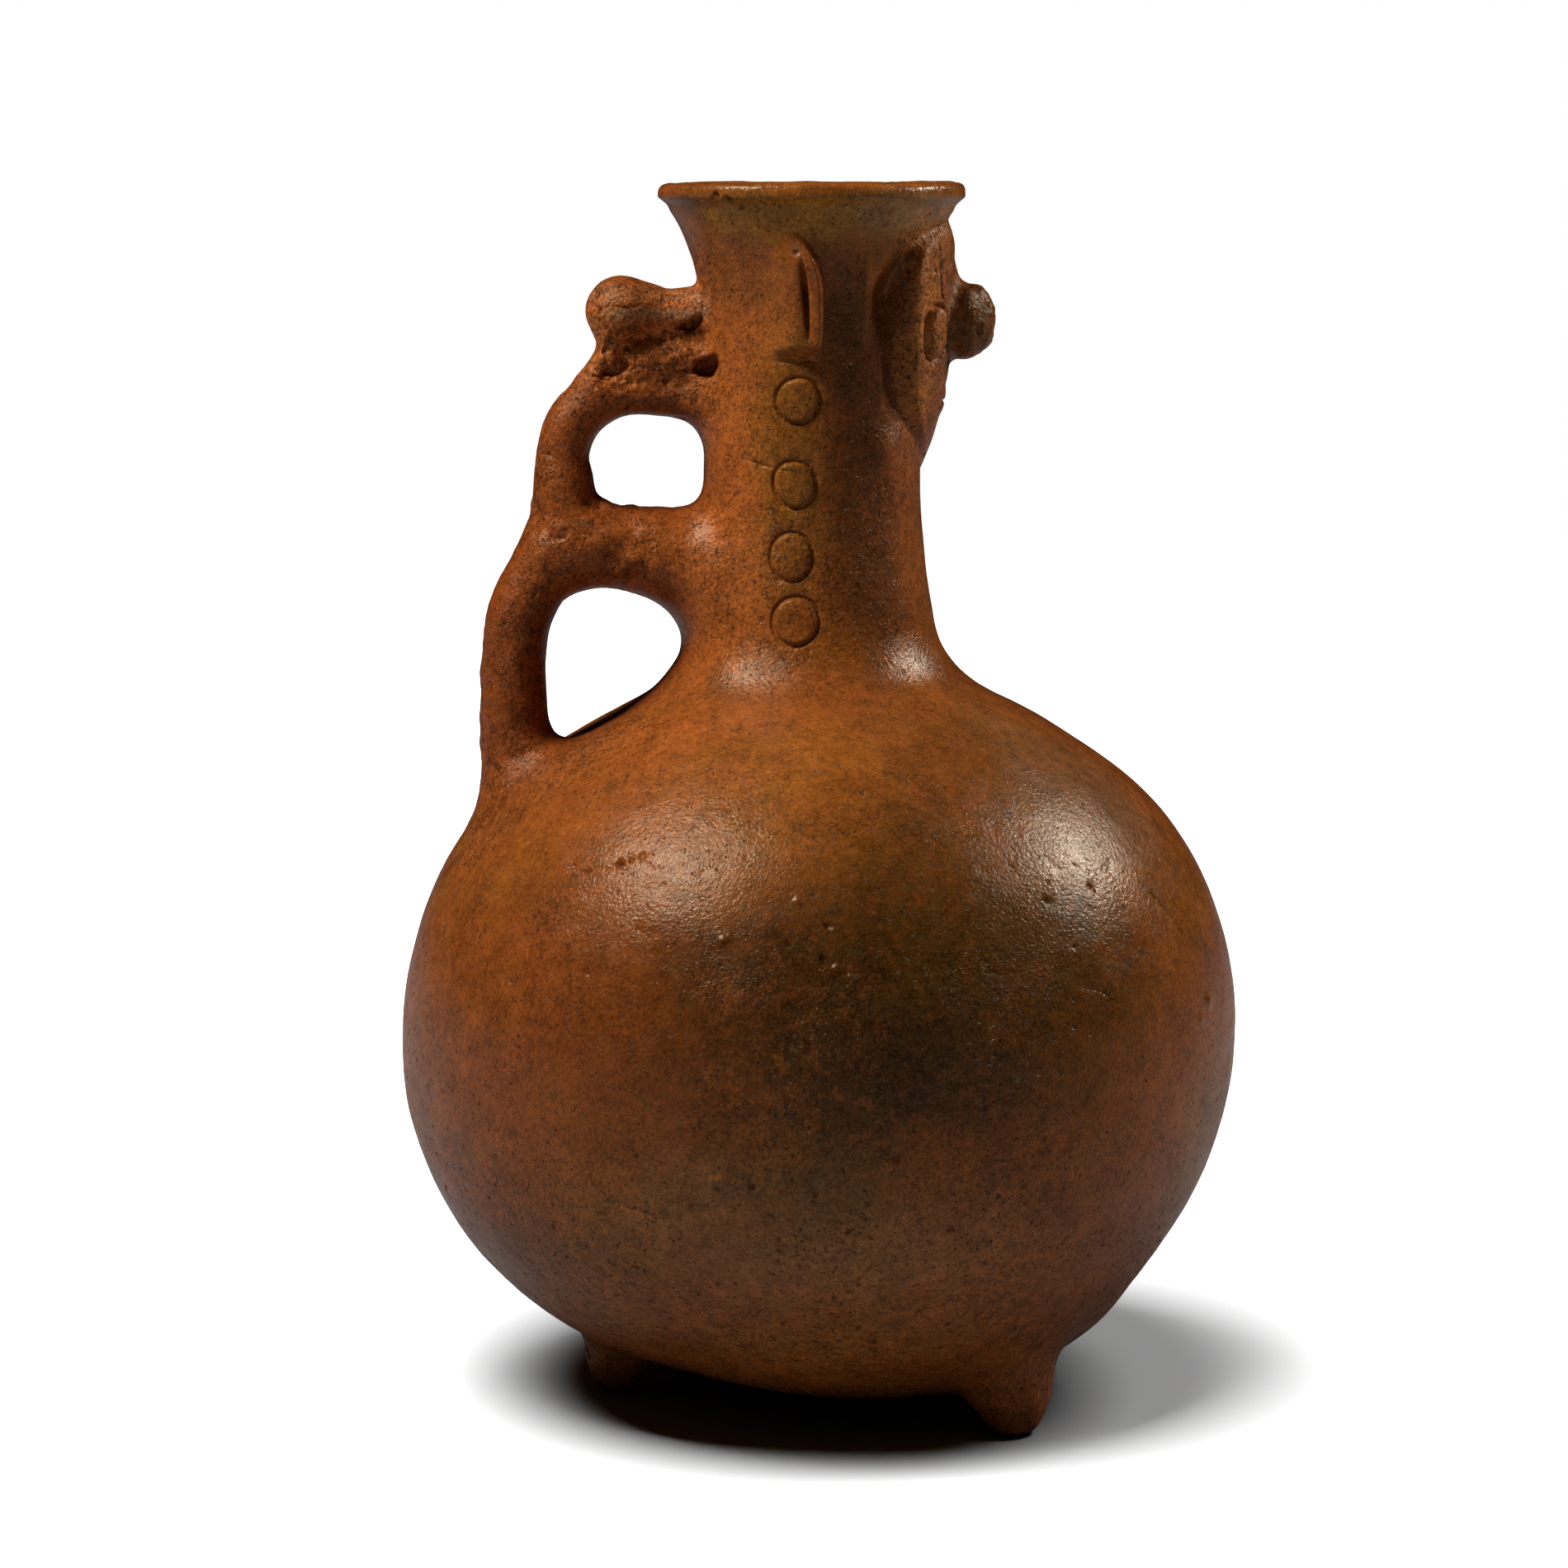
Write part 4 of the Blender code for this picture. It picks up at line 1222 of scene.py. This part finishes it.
def patch_share(points, centre, half_width, half_height, warp):
    """How far each point is inside a soft, uneven patch around the jug, from 0 to 1."""
    angle = math.atan2(centre[1], centre[0])
    turn = np.arctan2(points[:, 1], points[:, 0]) - angle
    turn = (turn + math.pi) % (2.0 * math.pi) - math.pi
    across = turn * np.hypot(centre[0], centre[1]) / half_width
    upward = (points[:, 2] - centre[2]) / half_height
    gap = np.hypot(across, upward) + warp
    return 1.0 - smooth_step(gap, *PATCH_FADE)


def paint(points):
    """The clay's colour at each point."""
    colour = np.tile(np.array(ORANGE, dtype=np.float32), (len(points), 1))
    warp = sum(share * noise(points, size, offset) for share, size, offset in PATCH_WARPS)

    def lay(share, tone, strength):
        blend = (share * strength)[:, None]
        colour[:] = colour + (np.array(tone, dtype=np.float32) - colour) * blend

    for size, offset, low, high, tone, strength in TONE_CHANGES:
        lay(smooth_step(noise(points, size, offset), low, high), tone, strength)
    centres = seen_at([patch[0] for patch in SEEN_PATCHES])
    for centre, (_, half_width, half_height, tone, strength) in zip(centres, SEEN_PATCHES):
        lay(patch_share(points, centre, half_width, half_height, warp), tone, strength)
    for (angle, height), half_width, half_height, tone, strength in HIDDEN_PATCHES:
        radius = BELLY_RADIUS if height < SHOULDER_Z else NECK_RADIUS
        turn = math.radians(angle)
        centre = (radius * math.cos(turn), radius * math.sin(turn), height)
        lay(patch_share(points, centre, half_width, half_height, warp), tone, strength)
    # Pits and cracks darken with their depth: partly dirt in them, partly painted shade.
    lay(smooth_step(-in_parts(flaw_relief, points), *GRIME_AND_SHADE_DEPTHS), GRIME_AND_SHADE, GRIME_AND_SHADE_STRENGTH)
    return colour


def add_paint(shape):
    """Keeps the colour at each point as a tint, with the grain's coarseness as its alpha."""
    mesh = shape.data
    points = vertex_places(mesh)
    tint = mesh.attributes.new("tint", "FLOAT_COLOR", "POINT")
    tint.data.foreach_set("color", np.c_[paint(points), grain(points)].astype(np.float32).ravel())


class Nodes:
    """Short ways to add and join the nodes of one material."""

    def __init__(self, material):
        material.use_nodes = True
        self.tree = material.node_tree
        self.shader = self.tree.nodes["Principled BSDF"]

    def add(self, kind, settings=(), **inputs):
        node = self.tree.nodes.new(kind)
        for name, value in dict(settings).items():
            setattr(node, name, value)
        self.fill(node, inputs)
        return node

    def fill(self, node, inputs):
        for name, value in inputs.items():
            self.put(node.inputs[name.replace("_", " ")], value)

    def shade(self, **inputs):
        """Sets the shader's inputs, or joins them to other nodes."""
        self.fill(self.shader, inputs)

    def put(self, socket, value):
        if isinstance(value, bpy.types.NodeSocket):
            self.tree.links.new(value, socket)
        else:
            socket.default_value = value

    def math(self, operation, first, second=0.0, third=0.0, clamp=False):
        node = self.add("ShaderNodeMath", {"operation": operation, "use_clamp": clamp})
        for socket, value in zip(node.inputs, (first, second, third)):
            self.put(socket, value)
        return node.outputs["Value"]

    def ramp(self, value, low, high, to_low=0.0, to_high=1.0):
        node = self.add("ShaderNodeMapRange", {"interpolation_type": "SMOOTHSTEP"}, Value=value)
        self.fill(node, {"From Min": low, "From Max": high, "To Min": to_low, "To Max": to_high})
        return node.outputs["Result"]

    def noise(self, place, size, detail=3.0, roughness=0.55, distortion=0.0):
        node = self.add("ShaderNodeTexNoise", Vector=place, Scale=1.0 / size, Detail=detail)
        self.fill(node, {"Roughness": roughness, "Distortion": distortion})
        return node.outputs["Fac"]

    def mix(self, share, first, second):
        node = self.add("ShaderNodeMix", {"data_type": "RGBA"}, Factor=share)
        self.put(node.inputs[6], first)
        self.put(node.inputs[7], second)
        return node.outputs[2]

    def stretched(self, place, scale):
        node = self.add("ShaderNodeMapping", Vector=place, Scale=scale)
        return node.outputs["Vector"]

    def vector(self, operation, first, second, third=None):
        node = self.add("ShaderNodeVectorMath", {"operation": operation})
        self.put(node.inputs[0], first)
        self.put(node.inputs["Scale"] if operation == "SCALE" else node.inputs[1], second)
        if third is not None:
            self.put(node.inputs[2], third)
        return node.outputs["Vector"]

    def bump(self, height, depth, below=None):
        node = self.add("ShaderNodeBump", Height=height, Distance=depth, Strength=1.0)
        if below is not None:
            self.put(node.inputs["Normal"], below)
        return node.outputs["Normal"]


def solid(colour):
    return (*colour, 1.0)


# The sizes of the clay's patterns, in metres
SHAKE = 0.0016
MOTTLE = 0.0055
GRAINS = 0.0009
CLOTS = 0.0030
BLOTCHES = 0.0130
STREAKS = 0.0140
BARE_SPOTS = 0.0040
BARE_ZONES = 0.0300
FLECKS = 0.0021
CRUMBS = 0.0017
CRUMB_ZONES = 0.0170
DUSTING = 0.0120
BURNISH = 0.0110
BEADS = 0.0010

# Pinholes: (spacing, size of their zones, largest share of the spacing).
PINHOLES = [
    (0.0022, 0.0080, 0.18),
    (0.0070, 0.0160, 0.11),
]
DARKEST_SHADE = 0.25
PIT_DARKNESS = 0.65
SPECULAR_LEVEL = 0.25
SPECULAR_TINT = (1.0, 0.84, 0.62, 1.0)


def specks(nodes, place, spacing, patchiness, most):
    """Scattered dark specks and pinholes: one in a speck, nothing around it."""
    cells = nodes.add("ShaderNodeTexVoronoi", Vector=place, Scale=1.0 / spacing)
    size = nodes.ramp(nodes.noise(place, patchiness, 2.0), 0.40, 0.70, 0.0, most)
    return nodes.ramp(nodes.math("SUBTRACT", cells.outputs["Distance"], size), 0.04, -0.03)


def make_clay_material():
    """The painted tint with mottling, grains, specks and dust over it."""
    material = bpy.data.materials.new("burnished terracotta")
    nodes = Nodes(material)
    place = nodes.add("ShaderNodeTexCoord").outputs["Object"]
    painted = nodes.add("ShaderNodeAttribute", {"attribute_name": "tint"})
    tint, coarse = painted.outputs["Color"], painted.outputs["Alpha"]

    shaken = nodes.add("ShaderNodeTexNoise", Vector=place, Scale=1.0 / SHAKE, Detail=2.0).outputs["Color"]
    crooked = nodes.vector("MULTIPLY_ADD", shaken, (SHAKE,) * 3, place)

    mottle = nodes.noise(place, MOTTLE, 7.0, 0.70)
    grains = nodes.noise(place, GRAINS, 3.0, 0.75)
    clots = nodes.noise(place, CLOTS, 5.0, 0.75)
    blotches = nodes.noise(place, BLOTCHES, 7.0, 0.72)
    streaks = nodes.noise(nodes.stretched(place, (1.0, 1.0, 4.0)), STREAKS, 6.0, 0.62, 0.3)
    colour = nodes.mix(nodes.ramp(mottle, 0.48, 0.66, 0.0, 0.40), tint, solid(RED_BROWN))
    colour = nodes.mix(nodes.ramp(mottle, 0.45, 0.30, 0.0, 0.55), colour, solid(OLIVE))
    colour = nodes.mix(nodes.ramp(streaks, 0.56, 0.78, 0.0, 0.35), colour, solid(OLIVE))

    grain_strength = nodes.math("MULTIPLY_ADD", coarse, 2.4, 1.0)
    clot_strength = nodes.math("MULTIPLY_ADD", coarse, 1.6, 0.7)
    shade = nodes.math("MULTIPLY_ADD", blotches, -1.5, 1.75)
    shade = nodes.math("MULTIPLY_ADD", nodes.math("SUBTRACT", 0.5, grains), grain_strength, shade)
    shade = nodes.math("MULTIPLY_ADD", nodes.math("SUBTRACT", 0.5, clots), clot_strength, shade)
    colour = nodes.vector("SCALE", colour, nodes.math("MAXIMUM", shade, DARKEST_SHADE))

    bare_zone = nodes.ramp(nodes.noise(place, BARE_ZONES, 3.0, 0.5), 0.46, 0.62, 0.0, 0.55)
    bare = nodes.ramp(nodes.noise(place, BARE_SPOTS, 5.0, 0.75), 0.56, 0.61)
    colour = nodes.mix(nodes.math("MULTIPLY", bare, bare_zone), colour, solid(ORANGE))

    fleck_strength = nodes.math("MULTIPLY_ADD", coarse, 1.2, 0.1)
    flecks = nodes.ramp(nodes.noise(place, FLECKS, 3.0, 0.7), 0.62, 0.67)
    pit = nodes.math("MULTIPLY", flecks, fleck_strength, clamp=True)
    for pinholes in PINHOLES:
        pit = nodes.math("MAXIMUM", pit, specks(nodes, crooked, *pinholes))
    # Dark specks and pinholes take the dark colour; in the pinholes it is partly painted shade.
    colour = nodes.mix(nodes.math("MULTIPLY", pit, PIT_DARKNESS), colour, solid(GRIME_AND_SHADE))

    crumb_zone = nodes.ramp(nodes.noise(place, CRUMB_ZONES, 4.0, 0.6), 0.44, 0.60, 0.0, 0.60)
    crumbs = nodes.ramp(nodes.noise(nodes.stretched(place, (1.0, 1.0, 1.6)), CRUMBS, 3.0, 0.7), 0.60, 0.65)
    crumbs = nodes.math("MULTIPLY", crumbs, crumb_zone)
    crumbs = nodes.math("MULTIPLY", crumbs, nodes.math("MULTIPLY_ADD", coarse, 0.9, -0.2), clamp=True)
    colour = nodes.mix(crumbs, colour, solid(DUST))
    dusty = nodes.ramp(nodes.noise(place, DUSTING, 9.0, 0.70), 0.60, 0.80, 0.0, 0.35)
    colour = nodes.mix(dusty, colour, solid(HAZE))
    nodes.shade(Base_Color=colour)

    burnish = nodes.noise(nodes.stretched(place, (1.0, 1.0, 2.2)), BURNISH, 4.0, 0.6)
    rough = nodes.ramp(burnish, 0.35, 0.70, 0.15, 0.25)
    rough = nodes.math("MULTIPLY_ADD", dusty, 0.35, rough)
    rough = nodes.math("MULTIPLY_ADD", coarse, 0.12, rough)
    rough = nodes.math("MULTIPLY_ADD", pit, 0.50, rough)
    nodes.shade(Roughness=rough, Specular_IOR_Level=SPECULAR_LEVEL, Specular_Tint=SPECULAR_TINT)

    beads = nodes.noise(place, BEADS, 2.0, 0.55)
    normal = nodes.bump(beads, nodes.math("MULTIPLY_ADD", coarse, 0.00016, 0.00010))
    normal = nodes.bump(grains, nodes.math("MULTIPLY", coarse, 0.00016), normal)
    normal = nodes.bump(streaks, 0.00010, normal)
    normal = nodes.bump(clots, nodes.math("MULTIPLY_ADD", coarse, 0.00026, 0.00004), normal)
    normal = nodes.bump(nodes.math("SUBTRACT", crumbs, pit), 0.00024, normal)
    nodes.shade(Normal=normal)
    return material


# The studio

FLOOR_RADIUS = 3.0
FLOOR_SEEN = 0.28
FLOOR_BOUNCE = 0.06
FLOOR_WHITENS = (0.16, 0.42)
AMBIENT = 0.003
WHITE = (1.0, 1.0, 1.0)
WARM_WHITE = (1.0, 0.95, 0.86)

# Each light is (name, its direction as right, away and up from the camera's side, width, power).
SOFTBOX_DISTANCE = 1.1
SOFTBOX_TARGET = (0.0, 0.0, 0.16)
SOFTBOXES = [
    ("left softbox", (-0.55, -0.23, 0.80), 0.31, 12.5),
    ("right softbox", (0.77, 0.21, 0.58), 0.21, 8.5),
]
FLOOR_LIGHT_DISTANCE = 3.0
FLOOR_LIGHTS = [
    ("main floor light", (-0.23, -0.27, 1.0), 1.70, 585.0),
    ("side floor light", (0.50, -0.10, 1.0), 1.04, 94.0),
]


def make_camera():
    data = bpy.data.cameras.new("camera")
    data.lens = LENS
    data.sensor_width = SENSOR
    camera = add_object("camera", data)
    camera.location = from_camera_side(CAMERA_SIDE, -CAMERA_DISTANCE, CAMERA_HEIGHT)
    camera.rotation_euler = (0.5 * math.pi - CAMERA_PITCH, 0.0, CAMERA_TURN)
    bpy.context.scene.camera = camera


def make_floor():
    """A white floor. Light that has met the jug sees it darker, as a floor between black flags."""
    work = bmesh.new()
    bmesh.ops.create_circle(work, cap_ends=True, segments=96, radius=FLOOR_RADIUS)
    mesh = bpy.data.meshes.new("floor")
    work.to_mesh(mesh)
    work.free()
    floor = add_object("floor", mesh)
    material = bpy.data.materials.new("white floor")
    nodes = Nodes(material)
    direct = nodes.add("ShaderNodeLightPath").outputs["Is Camera Ray"]
    tone = nodes.mix(direct, solid((FLOOR_BOUNCE,) * 3), solid((FLOOR_SEEN,) * 3))
    nodes.shade(Base_Color=tone, Roughness=1.0, Specular_IOR_Level=0.0)
    place = nodes.add("ShaderNodeTexCoord").outputs["Object"]
    radius = nodes.add("ShaderNodeVectorMath", {"operation": "LENGTH"})
    nodes.put(radius.inputs[0], place)
    far = nodes.ramp(radius.outputs["Value"], *FLOOR_WHITENS)
    nodes.shade(Emission_Color=solid(WHITE), Emission_Strength=nodes.math("MULTIPLY", far, direct))
    mesh.materials.append(material)
    return floor


def add_lights(lights, colour, distance, target, receiver):
    """Square lights that face a target and light one thing alone."""
    receivers = bpy.data.collections.new(f"lit by the {lights[0][0]}")
    receivers.objects.link(receiver)
    for name, towards, size, power in lights:
        data = bpy.data.lights.new(name, "AREA")
        data.color = colour
        data.shape = "SQUARE"
        data.size = size
        data.energy = power
        light = add_object(name, data)
        out = from_camera_side(*towards).normalized()
        light.location = Vector(target) + out * distance
        light.rotation_euler = out.to_track_quat("Z", "Y").to_euler()
        light.light_linking.receiver_collection = receivers


def make_world():
    """White to the camera, and dim to the clay."""
    world = bpy.data.worlds.new("white studio")
    world.use_nodes = True
    nodes, links = world.node_tree.nodes, world.node_tree.links
    background = nodes["Background"]
    background.inputs["Color"].default_value = solid(WHITE)
    seen = nodes.new("ShaderNodeLightPath")
    strength = nodes.new("ShaderNodeMapRange")
    strength.inputs["To Min"].default_value = AMBIENT
    strength.inputs["To Max"].default_value = 1.0
    links.new(seen.outputs["Is Camera Ray"], strength.inputs["Value"])
    links.new(strength.outputs["Result"], background.inputs["Strength"])
    bpy.context.scene.world = world


def main():
    clay = make_clay_mesh()
    clay.data.materials.clear()
    clay.data.materials.append(make_clay_material())
    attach(clay, "root")
    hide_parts("jug")
    add_paint(clay)
    # Two softboxes shape the clay. Two more lights from above lay the soft shadows on the floor.
    add_lights(SOFTBOXES, WARM_WHITE, SOFTBOX_DISTANCE, SOFTBOX_TARGET, clay)
    add_lights(FLOOR_LIGHTS, WHITE, FLOOR_LIGHT_DISTANCE, (0.0, 0.0, 0.0), make_floor())
    make_world()
    make_camera()
    bpy.context.scene.view_settings.view_transform = "Standard"


main()
